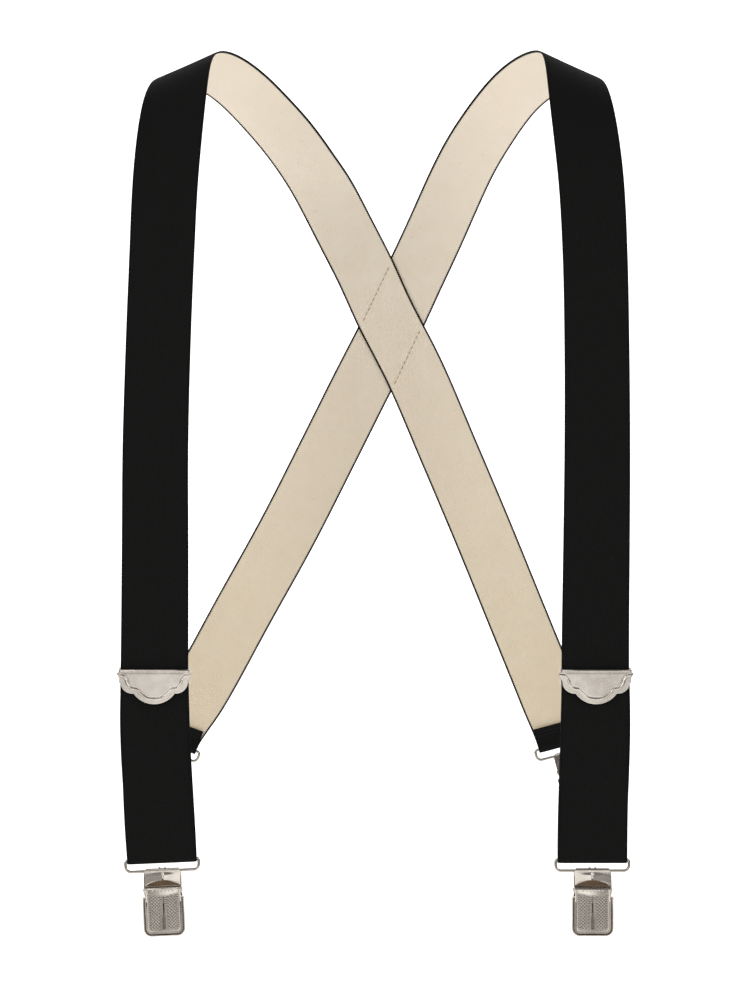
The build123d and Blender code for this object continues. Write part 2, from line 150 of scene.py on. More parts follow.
def tube_patch(rings: Array, values: dict[str, Array] | None = None, closed: bool = False) -> Patch:
    """Closed skin through rings of points, capped at both ends unless the path closes on itself.

    Args:
        rings: Points, as (along, around, 3).
        values: Named values for each point, as (along, around).
        closed: Whether the last ring joins the first.

    Returns:
        The skin.
    """
    along, around = rings.shape[:2]
    faces = [grid_faces(along, around, wrap_rows=closed, wrap_columns=True)]
    if not closed:
        faces += [cap_faces(0, around, True), cap_faces((along - 1) * around, around, False)]
    flat = {name: value.reshape(-1) for name, value in (values or {}).items()}
    return Patch(rings.reshape(-1, 3), np.concatenate(faces), flat)


def joined(patches: list[Patch]) -> Patch:
    """All patches as one, with their faces renumbered."""
    starts = np.cumsum([0] + [len(patch.points) for patch in patches[:-1]])
    names = patches[0].values
    return Patch(
        np.concatenate([patch.points for patch in patches]),
        np.concatenate([patch.faces + start for patch, start in zip(patches, starts)]),
        {name: np.concatenate([patch.values[name] for patch in patches]) for name in names},
    )


def make_object(name: str, patch: Patch, material: bpy.types.Material, weld: float = 0.0) -> bpy.types.Object:
    """A smooth mesh object at the origin, with its place in its mesh.

    Args:
        name: Name of the object.
        patch: Its surface, in millimetres.
        material: Its finish.
        weld: Distance in millimetres under which points are merged.

    Returns:
        The object.
    """
    mesh = bpy.data.meshes.new(name)
    mesh.from_pydata((patch.points * MM).tolist(), [], patch.faces.tolist())
    for label, numbers in patch.values.items():
        if label in ("across", "along"):
            continue
        layer = mesh.attributes.new(label, "FLOAT", "POINT")
        layer.data.foreach_set("value", numbers.astype(np.float32))
    if "across" in patch.values:
        corners = np.empty(len(mesh.loops), dtype=np.int32)
        mesh.loops.foreach_get("vertex_index", corners)
        layer = mesh.uv_layers.new(name="cloth")
        pair = np.stack([patch.values["across"], patch.values["along"]], axis=-1)[corners]
        layer.uv.foreach_set("vector", pair.astype(np.float32).ravel())
    mesh.polygons.foreach_set("use_smooth", np.ones(len(mesh.polygons), dtype=bool))
    mesh.materials.append(material)
    obj = bpy.data.objects.new(name, mesh)
    bpy.context.scene.collection.objects.link(obj)
    if weld:
        work = bmesh.new()
        work.from_mesh(mesh)
        bmesh.ops.remove_doubles(work, verts=work.verts, dist=weld * MM)
        bmesh.ops.recalc_face_normals(work, faces=work.faces)
        work.to_mesh(mesh)
        work.free()
    mesh.update()
    mesh.set_sharp_from_angle(angle=CREASE)
    return obj


def smooth_through(stations: Array, step: float) -> Array:
    """Smooth curve through given stations, with its other columns carried along.

    Between two stations each column follows the cubic whose slope at a station is the chord of its
    neighbours (Catmull and Rom), so the curve meets every station without a corner.

    Args:
        stations: One row a station; the first three columns are its place in millimetres.
        step: Spacing of the curve's points in millimetres.

    Returns:
        Rows in the same columns, about a step apart.
    """
    gaps = np.linalg.norm(np.diff(stations[:, :3], axis=0), axis=1)
    at = np.concatenate([[0.0], np.cumsum(gaps)])
    slopes = np.gradient(stations, at, axis=0)
    places = np.linspace(0.0, at[-1], max(2, int(round(at[-1] / step)) + 1))
    cell = np.clip(np.searchsorted(at, places, side="right") - 1, 0, len(gaps) - 1)
    span = gaps[cell][:, None]
    share = ((places - at[cell]) / gaps[cell])[:, None]
    return (
        (2 * share**3 - 3 * share**2 + 1) * stations[cell]
        + (share**3 - 2 * share**2 + share) * span * slopes[cell]
        + (3 * share**2 - 2 * share**3) * stations[cell + 1]
        + (share**3 - share**2) * span * slopes[cell + 1]
    )


def unit(vectors: Array) -> Array:
    """The same directions at length one."""
    return vectors / np.linalg.norm(vectors, axis=-1, keepdims=True)


# ---------------------------------------------------------------- finishes


def linear(colour: str) -> tuple[float, float, float, float]:
    """Linear colour of an sRGB hex value such as #c0ffee."""
    share = np.array([int(colour[at : at + 2], 16) for at in (1, 3, 5)]) / 255
    value = np.where(share <= 0.04045, share / 12.92, ((share + 0.055) / 1.055) ** 2.4)
    return (*value.tolist(), 1.0)


def add_node(
    tree: bpy.types.NodeTree,
    kind: str,
    settings: dict[str, Any] | None = None,
    inputs: dict[Any, Any] | None = None,
) -> bpy.types.Node:
    """Adds one shader node.

    Args:
        tree: The material's node tree.
        kind: The node's type.
        settings: Its own properties.
        inputs: For each input, by name or number, a value or another node's output socket.

    Returns:
        The node.
    """
    node = tree.nodes.new(kind)
    for name, value in (settings or {}).items():
        setattr(node, name, value)
    for name, value in (inputs or {}).items():
        if isinstance(value, bpy.types.NodeSocket):
            tree.links.new(value, node.inputs[name])
        else:
            node.inputs[name].default_value = value
    return node


def blank_material(name: str) -> tuple[bpy.types.Material, bpy.types.NodeTree]:
    """A new material and its empty node tree."""
    material = bpy.data.materials.new(name)
    material.use_nodes = True
    material.node_tree.nodes.clear()
    return material, material.node_tree


@dataclass(frozen=True)
class ElasticWebbing:
    """Woven elastic of rubber and polyester: dull ribs, black outside and cream inside.

    The warp cords stand up as fine ribs along the strap, so it is matt, with a soft sheen where it is
    seen along its face. Both selvages are bound with beads of black thread, the cream has a few flecks,
    and it is a little darker and yellower further down.
    """

    name: str = "woven_elastic"
    black: str = "#0f0f0f"
    # Black on the weave's raised parts: painted highlight.
    black_highlight: str = "#171716"
    cream: str = "#eee2d0"
    # Cream of the lower part: a little darker and yellower.
    cream_low: str = "#e6d6bc"
    fleck: str = "#b59b76"
    rib: float = 1.3          # mm between warp cords
    pick: float = 1.1         # mm between weft threads
    bead: float = 1.7         # mm between the binding's beads
    flecks: float = 9.0       # mm between flecks
    cloud: float = 22.0       # mm across a patch of slightly different cream
    half_width: float = 25.5
    selvage: float = 1.6      # mm wide
    yellowing_top: float = -0.1    # metres; the cream starts to yellow here
    yellowing_foot: float = -0.5
    roughness: float = 0.9

    def weave(self, tree: bpy.types.NodeTree, across: Any, along: Any) -> tuple[Any, Any]:
        """Heights of the weave: a wave across the strap for the cords, crossed by one for the picks.

        Args:
            tree: The material's nodes.
            across: Millimetres from the strap's centre line.
            along: Millimetres along it.

        Returns:
            The weave's height, and that height with the yarn's fuzz on it.
        """
        turn = add_node(tree, "ShaderNodeMath", {"operation": "MULTIPLY"},
                        {0: across, 1: 2 * np.pi / self.rib})
        cords = add_node(tree, "ShaderNodeMath", {"operation": "SINE"}, {0: turn.outputs[0]})
        lift = add_node(tree, "ShaderNodeMath", {"operation": "MULTIPLY"},
                        {0: along, 1: 2 * np.pi / self.pick})
        lean = add_node(tree, "ShaderNodeMath", {"operation": "ADD"},
                        {0: lift.outputs[0], 1: cords.outputs[0]})
        picks = add_node(tree, "ShaderNodeMath", {"operation": "SINE"}, {0: lean.outputs[0]})
        weave = add_node(tree, "ShaderNodeMath", {"operation": "MULTIPLY_ADD"},
                         {0: picks.outputs[0], 1: 0.35, 2: cords.outputs[0]})
        yarn = add_node(tree, "ShaderNodeCombineXYZ", {}, {0: across, 1: along})
        fuzz = add_node(tree, "ShaderNodeTexNoise", {},
                        {"Vector": yarn.outputs[0], "Scale": 1.4, "Detail": 2.0})
        relief = add_node(tree, "ShaderNodeMath", {"operation": "MULTIPLY_ADD"},
                          {0: fuzz.outputs["Fac"], 1: 1.2, 2: weave.outputs[0]})
        return weave.outputs[0], relief.outputs[0]

    def cream_face(self, tree: bpy.types.NodeTree, cloth: Any, weave: Any) -> Any:
        """Colour of the inner face: cream that yellows downwards, clouded, flecked and shaded by the
        weave."""
        place = add_node(tree, "ShaderNodeTexCoord")
        height = add_node(tree, "ShaderNodeSeparateXYZ", {}, {0: place.outputs["Object"]})
        lowness = add_node(tree, "ShaderNodeMapRange", {},
                        {0: height.outputs[2], 1: self.yellowing_top, 2: self.yellowing_foot})
        cloud = add_node(tree, "ShaderNodeTexNoise", {},
                         {"Vector": cloth, "Scale": 1 / self.cloud, "Detail": 3.0})
        patch = add_node(tree, "ShaderNodeMapRange", {},
                         {0: cloud.outputs["Fac"], 1: 0.3, 2: 0.7, 3: -0.14, 4: 0.14})
        share = add_node(tree, "ShaderNodeMath", {"operation": "ADD", "use_clamp": True},
                         {0: lowness.outputs[0], 1: patch.outputs[0]})
        cream = add_node(tree, "ShaderNodeMix", {"data_type": "RGBA"},
                         {0: share.outputs[0], 6: linear(self.cream), 7: linear(self.cream_low)})
        cells = add_node(tree, "ShaderNodeTexVoronoi", {"feature": "F1"},
                         {"Vector": cloth, "Scale": 1 / self.flecks, "Randomness": 1.0})
        spot = add_node(tree, "ShaderNodeMapRange", {},
                        {0: cells.outputs["Distance"], 1: 0.03, 2: 0.09, 3: 0.4, 4: 0.0})
        flecked = add_node(tree, "ShaderNodeMix", {"data_type": "RGBA"},
                           {0: spot.outputs[0], 6: cream.outputs[2], 7: linear(self.fleck)})
        shaded = add_node(tree, "ShaderNodeMapRange", {}, {0: weave, 1: -1.3, 2: 1.3, 3: 0.93, 4: 1.0})
        woven = add_node(tree, "ShaderNodeMix", {"data_type": "RGBA", "blend_type": "MULTIPLY"},
                         {0: 1.0, 6: flecked.outputs[2], 7: shaded.outputs[0]})
        return woven.outputs[2]

    def binding(self, tree: bpy.types.NodeTree, across: Any, along: Any) -> Any:
        """How much of a point is black binding: all of it past the selvage's inner side, which each
        bead of thread pushes in and out."""
        turn = add_node(tree, "ShaderNodeMath", {"operation": "MULTIPLY"},
                        {0: along, 1: 2 * np.pi / self.bead})
        beat = add_node(tree, "ShaderNodeMath", {"operation": "SINE"}, {0: turn.outputs[0]})
        far = add_node(tree, "ShaderNodeMath", {"operation": "ABSOLUTE"}, {0: across})
        reach = add_node(tree, "ShaderNodeMath", {"operation": "MULTIPLY_ADD"},
                         {0: beat.outputs[0], 1: 0.35, 2: far.outputs[0]})
        start = self.half_width - self.selvage
        share = add_node(tree, "ShaderNodeMapRange", {},
                         {0: reach.outputs[0], 1: start - 0.15, 2: start + 0.15})
        return share.outputs[0]

    def material(self) -> bpy.types.Material:
        """The finish, read from the cloth's own map: millimetres across and along."""
        material, tree = blank_material(self.name)
        place = add_node(tree, "ShaderNodeUVMap", {"uv_map": "cloth"})
        split = add_node(tree, "ShaderNodeSeparateXYZ", {}, {0: place.outputs[0]})
        across, along = split.outputs[0], split.outputs[1]
        inner = add_node(tree, "ShaderNodeAttribute", {"attribute_name": "inner"}).outputs["Fac"]
        weave, relief = self.weave(tree, across, along)
        # Painted highlight: the black is lighter where the weave and its fuzz stand higher.
        weave_highlight = add_node(tree, "ShaderNodeMapRange", {}, {0: relief, 1: -1.0, 2: 2.2})
        highlighted_black = add_node(tree, "ShaderNodeMix", {"data_type": "RGBA"},
                        {0: weave_highlight.outputs[0], 6: linear(self.black), 7: linear(self.black_highlight)})
        two_faced = add_node(tree, "ShaderNodeMix", {"data_type": "RGBA"},
                             {0: inner, 6: highlighted_black.outputs[2],
                              7: self.cream_face(tree, place.outputs[0], weave)})
        colour = add_node(tree, "ShaderNodeMix", {"data_type": "RGBA"},
                          {0: self.binding(tree, across, along), 6: two_faced.outputs[2],
                           7: linear(self.black)})
        bump = add_node(tree, "ShaderNodeBump", {},
                        {"Strength": 0.4, "Distance": 0.0002, "Height": relief})
        shader = add_node(tree, "ShaderNodeBsdfPrincipled", {}, {
            "Base Color": colour.outputs[2], "Roughness": self.roughness, "Normal": bump.outputs[0],
            "Specular IOR Level": 0.1, "Sheen Weight": 0.035, "Sheen Roughness": 0.35})
        add_node(tree, "ShaderNodeOutputMaterial", {}, {"Surface": shader.outputs[0]})
        return material


@dataclass(frozen=True)
class NickelPlate:
    """Bright nickel on pressed steel: warm grey mirror with faint rolling marks and handling haze.

    A value on each point of a mesh, from 0 to 1, darkens it towards dark brown: painted shade in grooves and
    hollows, behind other parts and over whole wires.
    """

    name: str = "nickel_plate"
    colour: str = "#ddd5cb"
    haze: str = "#d0c7bc"
    # Colour that the painted shade darkens towards.
    painted_shade_colour: str = "#474039"
    roughness: float = 0.19
    rough_rise: float = 0.04  # how much rougher the haze is
    grain: float = 0.6        # mm between rolling marks
    cloud: float = 25 / 3     # mm across a patch of haze

    def material(self) -> bpy.types.Material:
        """The finish, on object coordinates."""
        material, tree = blank_material(self.name)
        place = add_node(tree, "ShaderNodeTexCoord")
        scaled = add_node(tree, "ShaderNodeMapping", {},
                          {"Vector": place.outputs["Object"], "Scale": MILLIMETRES})
        cloud = add_node(tree, "ShaderNodeTexNoise", {},
                         {"Vector": scaled.outputs[0], "Scale": 1 / self.cloud, "Detail": 4.0})
        stretched = add_node(tree, "ShaderNodeMapping", {},
                             {"Vector": scaled.outputs[0], "Scale": (1 / self.grain, 1.0, 0.08)})
        marks = add_node(tree, "ShaderNodeTexNoise", {},
                         {"Vector": stretched.outputs[0], "Scale": 1.0, "Detail": 3.0})
        veil = add_node(tree, "ShaderNodeMapRange", {}, {0: cloud.outputs["Fac"], 1: 0.4, 2: 0.75})
        colour = add_node(tree, "ShaderNodeMix", {"data_type": "RGBA"},
                          {0: veil.outputs[0], 6: linear(self.colour), 7: linear(self.haze)})
        # Painted shade: each point's value mixes the colour towards dark brown.
        painted_shade = add_node(tree, "ShaderNodeAttribute", {"attribute_name": "painted_shade"})
        shaded = add_node(tree, "ShaderNodeMix", {"data_type": "RGBA"},
                          {0: painted_shade.outputs["Fac"], 6: colour.outputs[2], 7: linear(self.painted_shade_colour)})
        rough = add_node(tree, "ShaderNodeMapRange", {}, {
            0: cloud.outputs["Fac"], 1: 0.35, 2: 0.7, 3: self.roughness,
            4: self.roughness + self.rough_rise})
        bump = add_node(tree, "ShaderNodeBump", {},
                        {"Strength": 0.03, "Distance": 0.0001, "Height": marks.outputs["Fac"]})
        shader = add_node(tree, "ShaderNodeBsdfPrincipled", {}, {
            "Base Color": shaded.outputs[2], "Metallic": 1.0, "Roughness": rough.outputs[0],
            "Normal": bump.outputs[0]})
        add_node(tree, "ShaderNodeOutputMaterial", {}, {"Surface": shader.outputs[0]})
        return material


@dataclass(frozen=True)
class SewingThread:
    """Spun polyester sewing thread: matt, with the twist of its plies along it."""

    name: str = "sewing_thread"
    colour: str = "#b7a68c"
    shade: str = "#93826a"
    twist: float = 0.7        # mm between plies
    lean: float = 0.7         # radians by which the plies lean

    def material(self) -> bpy.types.Material:
        """The finish, on object coordinates."""
        material, tree = blank_material(self.name)
        place = add_node(tree, "ShaderNodeTexCoord")
        scaled = add_node(tree, "ShaderNodeMapping", {},
                          {"Vector": place.outputs["Object"], "Scale": MILLIMETRES,
                           "Rotation": (0, self.lean, 0)})
        plies = add_node(tree, "ShaderNodeTexWave", {"wave_type": "BANDS"},
                         {"Vector": scaled.outputs[0], "Scale": 0.31 / self.twist, "Distortion": 1.0})
        colour = add_node(tree, "ShaderNodeMix", {"data_type": "RGBA"},
                          {0: plies.outputs["Fac"], 6: linear(self.shade), 7: linear(self.colour)})
        bump = add_node(tree, "ShaderNodeBump", {},
                        {"Strength": 0.4, "Distance": 0.0001, "Height": plies.outputs["Fac"]})
        shader = add_node(tree, "ShaderNodeBsdfPrincipled", {}, {
            "Base Color": colour.outputs[2], "Roughness": 0.8, "Normal": bump.outputs[0],
            "Specular IOR Level": 0.2})
        add_node(tree, "ShaderNodeOutputMaterial", {}, {"Surface": shader.outputs[0]})
        return material


@dataclass(frozen=True)
class StudioPaper:
    """Seamless white background paper: matt and very slightly mottled."""

    name: str = "studio_paper"
    colour: str = "#fbfbfb"
    floor_glow: float = 0.65  # the floor's share of the wall's light
    glow_foot: float = -1.45  # metres; the paper's own light rises from here
    glow_top: float = -1.2    # to its full strength here

    def material(self) -> bpy.types.Material:
        """The finish, on object coordinates."""
        material, tree = blank_material(self.name)
        place = add_node(tree, "ShaderNodeTexCoord")
        cloud = add_node(tree, "ShaderNodeTexNoise", {}, {"Vector": place.outputs["Object"], "Scale": 3.0})
        rough = add_node(tree, "ShaderNodeMapRange", {}, {0: cloud.outputs["Fac"], 3: 0.9, 4: 1.0})
        height = add_node(tree, "ShaderNodeSeparateXYZ", {}, {0: place.outputs["Object"]})
        glow = add_node(tree, "ShaderNodeMapRange", {}, {
            0: height.outputs[2], 1: self.glow_foot, 2: self.glow_top, 3: self.floor_glow, 4: 1.0})
        shader = add_node(tree, "ShaderNodeBsdfPrincipled", {}, {
            "Base Color": linear(self.colour), "Roughness": rough.outputs[0], "Specular IOR Level": 0.0,
            "Emission Color": linear(self.colour), "Emission Strength": glow.outputs[0]})
        add_node(tree, "ShaderNodeOutputMaterial", {}, {"Surface": shader.outputs[0]})
        return material


# ---------------------------------------------------------------- where things hang


@dataclass
class Place:
    """Local frame of a bail and clip, or of an adjuster: origin in millimetres and three axes.

    x runs along the bar or hinge, y points in towards the wearer and z up the strap.
    """

    origin: Array
    x: Array
    y: Array
    z: Array

    def put(self, points: Array) -> Array:
        """Local points, in millimetres, as points of the model's frame."""
        return self.origin + points[..., :1] * self.x + points[..., 1:2] * self.y + points[..., 2:] * self.z


def joint_of(frame: dict[str, Any], name: str) -> dict[str, Any]:
    """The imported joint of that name."""
    return next(joint for joint in frame["joints"] if joint["name"] == name)


def hanger_place(frame: dict[str, Any], hanger: Hanger) -> Place:
    """Frame of one bail: the centre of its upper bar, its bar's direction and the strap's upward line."""
    joint = joint_of(frame, f"{hanger.value}_bail_swing")
    bar = np.array(joint["axis"], dtype=float)
    inward = np.array([0.0, 1.0 if bar[0] > 0 else -1.0, 0.0])
    return Place(np.array(joint["pos_m"]) / MM, bar, inward, np.cross(bar, inward))


# ---------------------------------------------------------------- webbing


@dataclass
class Strap:
    """One webbing, from the hem on its adjuster, round the front bail and over the shoulder to the
    back hem.

    Its path is a curve through stations; the outer face is black and the inner face cream.
    Widths are in millimetres. Each station is x, y, z, the shoulder's slope there and the width.
    """

    side: Side
    back_hanger: Hanger
    slope_side: float
    stations: list[tuple[float, float, float, float, float]]
    hinge: Array
    frame: dict[str, Any]
    thickness: float = 1.6
    full_width: float = 51.0
    relax_from: float = -160.0   # height of the foot of the shoulder
    relax_rise: float = 50.0     # height over which the pressing sets in
    relax_place: float = 18.0    # width of the bell for the place, and for the tilt and width
    relax_tilt: float = 40.0
    relax_reach: int = 70        # rows on each side that a bell takes in
    bail_width: float = 52.2
    back_width: float = 48.6
    fold_radius: float = 2.1
    hem_length: float = 17.0
    hem_gap: float = 0.1
    tail_bar: float = 5.2     # behind the strap's centre plane
    tail_foot: float = 33.0   # from the tail's bar down to its last free station
    cut_rise: float = 4.0     # the tail ends this far above the front bail's bar
    cut_height: float = -150.0   # height at which the front run becomes the strap
    spacing: float = 3.0
    columns: int = 28

    def arc(
        self, centre: Array, down: Array, across: Array, first: float, last: float, depth: float
    ) -> Array:
        """Stations round a bar: the bar's centre plus a turning radius, from first to last degrees."""
        turn = np.radians(np.linspace(first, last, BAR_POINTS))[:, None]
        outward = down * np.sin(turn) + np.array([0.0, -depth, 0.0]) * np.cos(turn)
        centres = centre + outward * self.fold_radius
        return np.hstack([centres, np.tile(across, (BAR_POINTS, 1))])

    def path(self) -> tuple[Array, Array, Array]:
        """Centres, sideways directions and widths all the way along.

        Returns:
            Points (n, 3), unit vectors (n, 3) and widths (n,), in millimetres.
        """
        front = hanger_place(self.frame, Hanger(f"{self.side.value}_front"))
        back = hanger_place(self.frame, self.back_hanger)
        level = np.array([1.0, 0.0, 0.0])
        up = np.array([0.0, 0.0, 1.0])
        bar = np.array([self.hinge[0], self.stations[0][1] + self.tail_bar, self.hinge[2]])
        sewn = self.thickness + self.hem_gap - self.fold_radius
        hem = np.array([bar + [0, sewn, -self.hem_length * share] for share in (1.0, 0.75, 0.5)])
        rows = [np.hstack([hem, np.tile(level, (len(hem), 1))])]
        rows.append(self.arc(bar, up, level, 180.0, 0.0, 1.0))
        foot = np.array([[bar[0], bar[1] - self.fold_radius, bar[2] - self.tail_foot]])
        rows.append(np.hstack([foot, level[None]]))
        rows.append(self.arc(front.origin, -front.z, front.x, 180.0, 0.0, 1.0))
        tilt = np.radians([station[3] for station in self.stations])
        centres = np.array([station[:3] for station in self.stations])
        ridge = np.stack([np.cos(tilt), np.zeros_like(tilt), self.slope_side * np.sin(tilt)], axis=1)
        rows.append(np.hstack([centres, ridge]))
        rows.append(self.arc(back.origin, -back.z, -back.x, 0.0, 180.0, -1.0))
        line = back.origin + np.array([0.0, self.fold_radius - self.thickness - self.hem_gap, 0.0])
        tail = np.array([line + back.z * self.hem_length * share for share in (0.5, 0.75, 1.0)])
        rows.append(np.hstack([tail, np.tile(-back.x, (len(tail), 1))]))
        table = np.vstack(rows)
        width = np.full(len(table), self.full_width)
        bend = len(hem) + BAR_POINTS
        first = bend + len(foot) + BAR_POINTS
        width[bend:first] = self.bail_width
        width[first : first + len(self.stations)] = [station[4] for station in self.stations]
        width[first + len(self.stations) :] = self.back_width
        smooth = self.relaxed(smooth_through(np.column_stack([table, width]), PATH_STEP))
        centres, ridge, width = smooth[:, :3], smooth[:, 3:6], smooth[:, 6]
        along = unit(np.gradient(centres, axis=0))
        across = unit(ridge - along * (ridge * along).sum(axis=1, keepdims=True))
        keep = self.thin_out(centres, along)
        return centres[keep], across[keep], width[keep]

    def relaxed(self, rows: Array) -> Array:
        """The shoulder's rows with their small waves pressed out: each row becomes the mean of its
        neighbours, weighted by a bell curve that narrows to nothing away from the shoulder. The bell is
        wider for the tilt and the width than for the place."""
        over = smoothstep(rows[:, 2], self.relax_from, self.relax_from + self.relax_rise)[:, None]
        reach = np.arange(-self.relax_reach, self.relax_reach + 1)
        padded = np.pad(rows, ((self.relax_reach, self.relax_reach), (0, 0)), mode="edge")
        result = rows.copy()
        for columns, width in ((slice(0, 3), self.relax_place), (slice(3, 7), self.relax_tilt)):
            bell = np.exp(-((reach * PATH_STEP / width) ** 2))
            starts = reach + self.relax_reach
            shifted = (
                weight * padded[start : start + len(rows), columns] for start, weight in zip(starts, bell)
            )
            mean = sum(shifted) / bell.sum()
            result[:, columns] += (mean - rows[:, columns]) * over
        return result

    def thin_out(self, centres: Array, along: Array) -> Array:
        """Which points to keep: every one in a tight turn, and about one a spacing elsewhere."""
        cosine = np.clip((along[1:] * along[:-1]).sum(axis=1), -1, 1)
        bend = np.concatenate([[0.0], np.degrees(np.arccos(cosine))])
        gaps = np.concatenate([[0.0], np.linalg.norm(np.diff(centres, axis=0), axis=1)])
        travelled = np.cumsum(gaps / self.spacing + bend / 6.0)
        mark = np.floor(travelled)
        keep = np.concatenate([[True], mark[1:] > mark[:-1]])
        keep[-1] = True
        return np.flatnonzero(keep)

    def section(self) -> tuple[Array, Array, Array]:
        """Closed outline of the webbing's section, once round.

        Returns:
            Share of the half width, height off the centre, and whether the point is on the inner face.
        """
        share = np.linspace(-1.0, 1.0, self.columns)
        share = np.sign(share) * (1 - (1 - np.abs(share)) ** 1.25)
        crown = self.thickness / 2 * (1 - 0.35 * np.abs(share) ** 24)
        return (
            np.concatenate([share, share[::-1]]),
            np.concatenate([-crown, crown]),
            np.concatenate([np.zeros_like(share), np.ones_like(share)]),
        )

    def meshes(self, cloth: bpy.types.Material) -> dict[str, bpy.types.Object]:
        """The webbing in three pieces: the tail, the front run and the strap over the shoulder.

        A point is the path's centre, plus its share of the half width sideways, plus its height along
        the face's normal, which is the path's direction crossed with the sideways direction.
        """
        centres, across, width = self.path()
        along = unit(np.gradient(centres, axis=0))
        normal = np.cross(along, across)
        share, height, inner = self.section()
        travelled = np.concatenate([[0.0], np.cumsum(np.linalg.norm(np.diff(centres, axis=0), axis=1))])
        rings = (
            centres[:, None]
            + across[:, None] * (share * 0.5)[None, :, None] * width[:, None, None]
            + normal[:, None] * height[None, :, None]
        )
        count = len(centres)
        values = {
            "across": np.tile(share * self.full_width / 2, (count, 1)),
            "along": np.tile(travelled[:, None], (1, len(share))),
            "inner": np.tile(inner, (count, 1)),
        }
        front = hanger_place(self.frame, Hanger(f"{self.side.value}_front"))
        low = int(np.argmin(centres[:, 2]))
        behind = low - 1
        while centres[behind, 2] < front.origin[2] + self.cut_rise:
            behind -= 1
        ahead = low
        while centres[ahead, 2] < self.cut_height:
            ahead += 1
        cuts = {"tail": (0, behind + 1), "front_run": (behind, ahead + 1), "strap": (ahead, count)}
        made = {}
        for piece, (start, stop) in cuts.items():
            part = {name: value[start:stop] for name, value in values.items()}
            name = f"{self.side.value}_webbing_{piece}"
            made[piece] = make_object(name, tube_patch(rings[start:stop], part), cloth)
        return made

    def build(self, cloth: bpy.types.Material) -> None:
        """Makes the webbing's pieces and fastens the strap over the shoulder to the root body; the tail and
        front run stay unattached.
        """
        made = self.meshes(cloth)
        side = self.side.value
        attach(made["strap"], "root")
        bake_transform(made["front_run"])
        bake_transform(made["tail"])
        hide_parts(f"{side}_strap")
        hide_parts(f"{side}_front_loop")


# Stations of each strap from the front bail up, over the shoulder and down the back: x, y, z, the
# shoulder's slope in degrees and the webbing's width.
LEFT_STATIONS = [
    (-162.6, -115.0, -585.0, 0, 52.0), (-165.0, -115.0, -539.0, 0, 51.4), (-166.6, -115.0, -494.0, 0, 51.0),
    (-166.3, -115.0, -440.0, 0, 50.6), (-166.0, -115.0, -370.0, 0, 50.0), (-165.8, -115.0, -300.0, 0, 49.4),
    (-163.7, -115.0, -220.0, 0, 48.8), (-160.9, -114.5, -150.0, 2, 48.8), (-158.6, -109.0, -95.0, 6, 49.4),
    (-155.5, -97.0, -55.0, 12, 49.6), (-152.5, -75.0, -25.0, 18, 49.6), (-149.5, -45.0, -6.0, 23, 49.4),
    (-144.8, -15.0, 2.0, 25, 49.2), (-135.3, 15.0, 4.5, 24, 49.0), (-120.8, 41.0, 0.5, 18, 48.6),
    (-106.5, 62.0, -8.0, 7, 48.4), (-89.0, 80.0, -24.5, -5, 48.2), (-67.5, 94.0, -48.0, -15, 48.2),
    (-54.0, 103.0, -67.0, -16, 48.2), (-44.0, 109.5, -81.5, -14, 48.2), (-27.5, 114.2, -113.0, -8, 48.4),
    (-9.0, 114.2, -149.0, 0, 48.4), (6.0, 114.2, -182.0, 0, 48.4), (31.0, 114.2, -231.0, 0, 48.4),
    (59.0, 114.2, -296.0, 0, 48.4), (86.5, 114.2, -361.0, 0, 48.4), (113.0, 114.2, -426.0, 0, 48.4),
    (141.0, 114.2, -495.0, 0, 48.6),
]
RIGHT_STATIONS = [
    (162.3, -115.0, -585.0, 0, 52.0), (163.3, -115.0, -539.0, 0, 51.4), (164.0, -115.0, -494.0, 0, 51.0),
    (164.2, -115.0, -440.0, 0, 50.6), (165.0, -115.0, -370.0, 0, 50.0), (165.6, -115.0, -300.0, 0, 49.4),
    (165.3, -115.0, -220.0, 0, 48.8), (163.9, -114.5, -150.0, 2, 48.8), (161.4, -109.0, -95.0, 6, 49.4),
    (157.5, -97.0, -55.0, 12, 49.6), (154.5, -75.0, -25.0, 18, 49.6), (152.5, -45.0, -6.0, 23, 49.4),
    (149.5, -15.0, 2.3, 26, 49.2), (140.7, 15.0, 4.3, 25, 49.0), (126.0, 41.0, -0.5, 20, 48.6),
    (112.2, 62.0, -10.0, 12, 48.4), (101.0, 80.0, -22.0, 5, 48.2), (88.5, 94.0, -39.2, 0, 48.2),
    (77.0, 103.0, -57.0, -3, 48.2), (64.5, 112.5, -82.5, -2, 48.2), (49.5, 115.8, -116.5, -1, 48.4),
    (32.0, 115.8, -154.0, 0, 48.4), (13.0, 115.8, -195.0, 0, 48.4), (-13.5, 115.8, -247.0, 0, 48.4),
    (-38.0, 115.8, -296.0, 0, 48.4), (-71.0, 115.8, -361.0, 0, 48.4), (-107.0, 115.8, -426.0, 0, 48.4),
    (-144.0, 115.8, -493.0, 0, 48.6),
]


# ---------------------------------------------------------------- pressed metal


def softened_copy(
    name: str, node: bpy.types.Object, material: bpy.types.Material, edge: float = 0.14
) -> bpy.types.Object:
    """A copy of a CAD node whose facets are merged and whose edges are rounded as pressing leaves them.

    Args:
        name: Name of the new piece.
        node: The CAD node.
        material: Its finish.
        edge: Width of the rounding in millimetres.

    Returns:
        The new object.
    """
    mesh = node.data.copy()
    work = bmesh.new()
    work.from_mesh(mesh)
    bmesh.ops.remove_doubles(work, verts=work.verts, dist=0.002 * MM)
    bmesh.ops.dissolve_limit(work, angle_limit=np.radians(1.0), verts=work.verts, edges=work.edges)
    work.to_mesh(mesh)
    work.free()
    mesh.materials.clear()
    mesh.materials.append(material)
    mesh.polygons.foreach_set("use_smooth", np.ones(len(mesh.polygons), dtype=bool))
    mesh.set_sharp_from_angle(angle=CREASE)
    obj = bpy.data.objects.new(name, mesh)
    bpy.context.scene.collection.objects.link(obj)
    bevel = obj.modifiers.new("rounding", "BEVEL")
    bevel.width = edge * MM
    bevel.segments = 2
    bevel.limit_method = "ANGLE"
    bevel.angle_limit = CREASE
    return obj


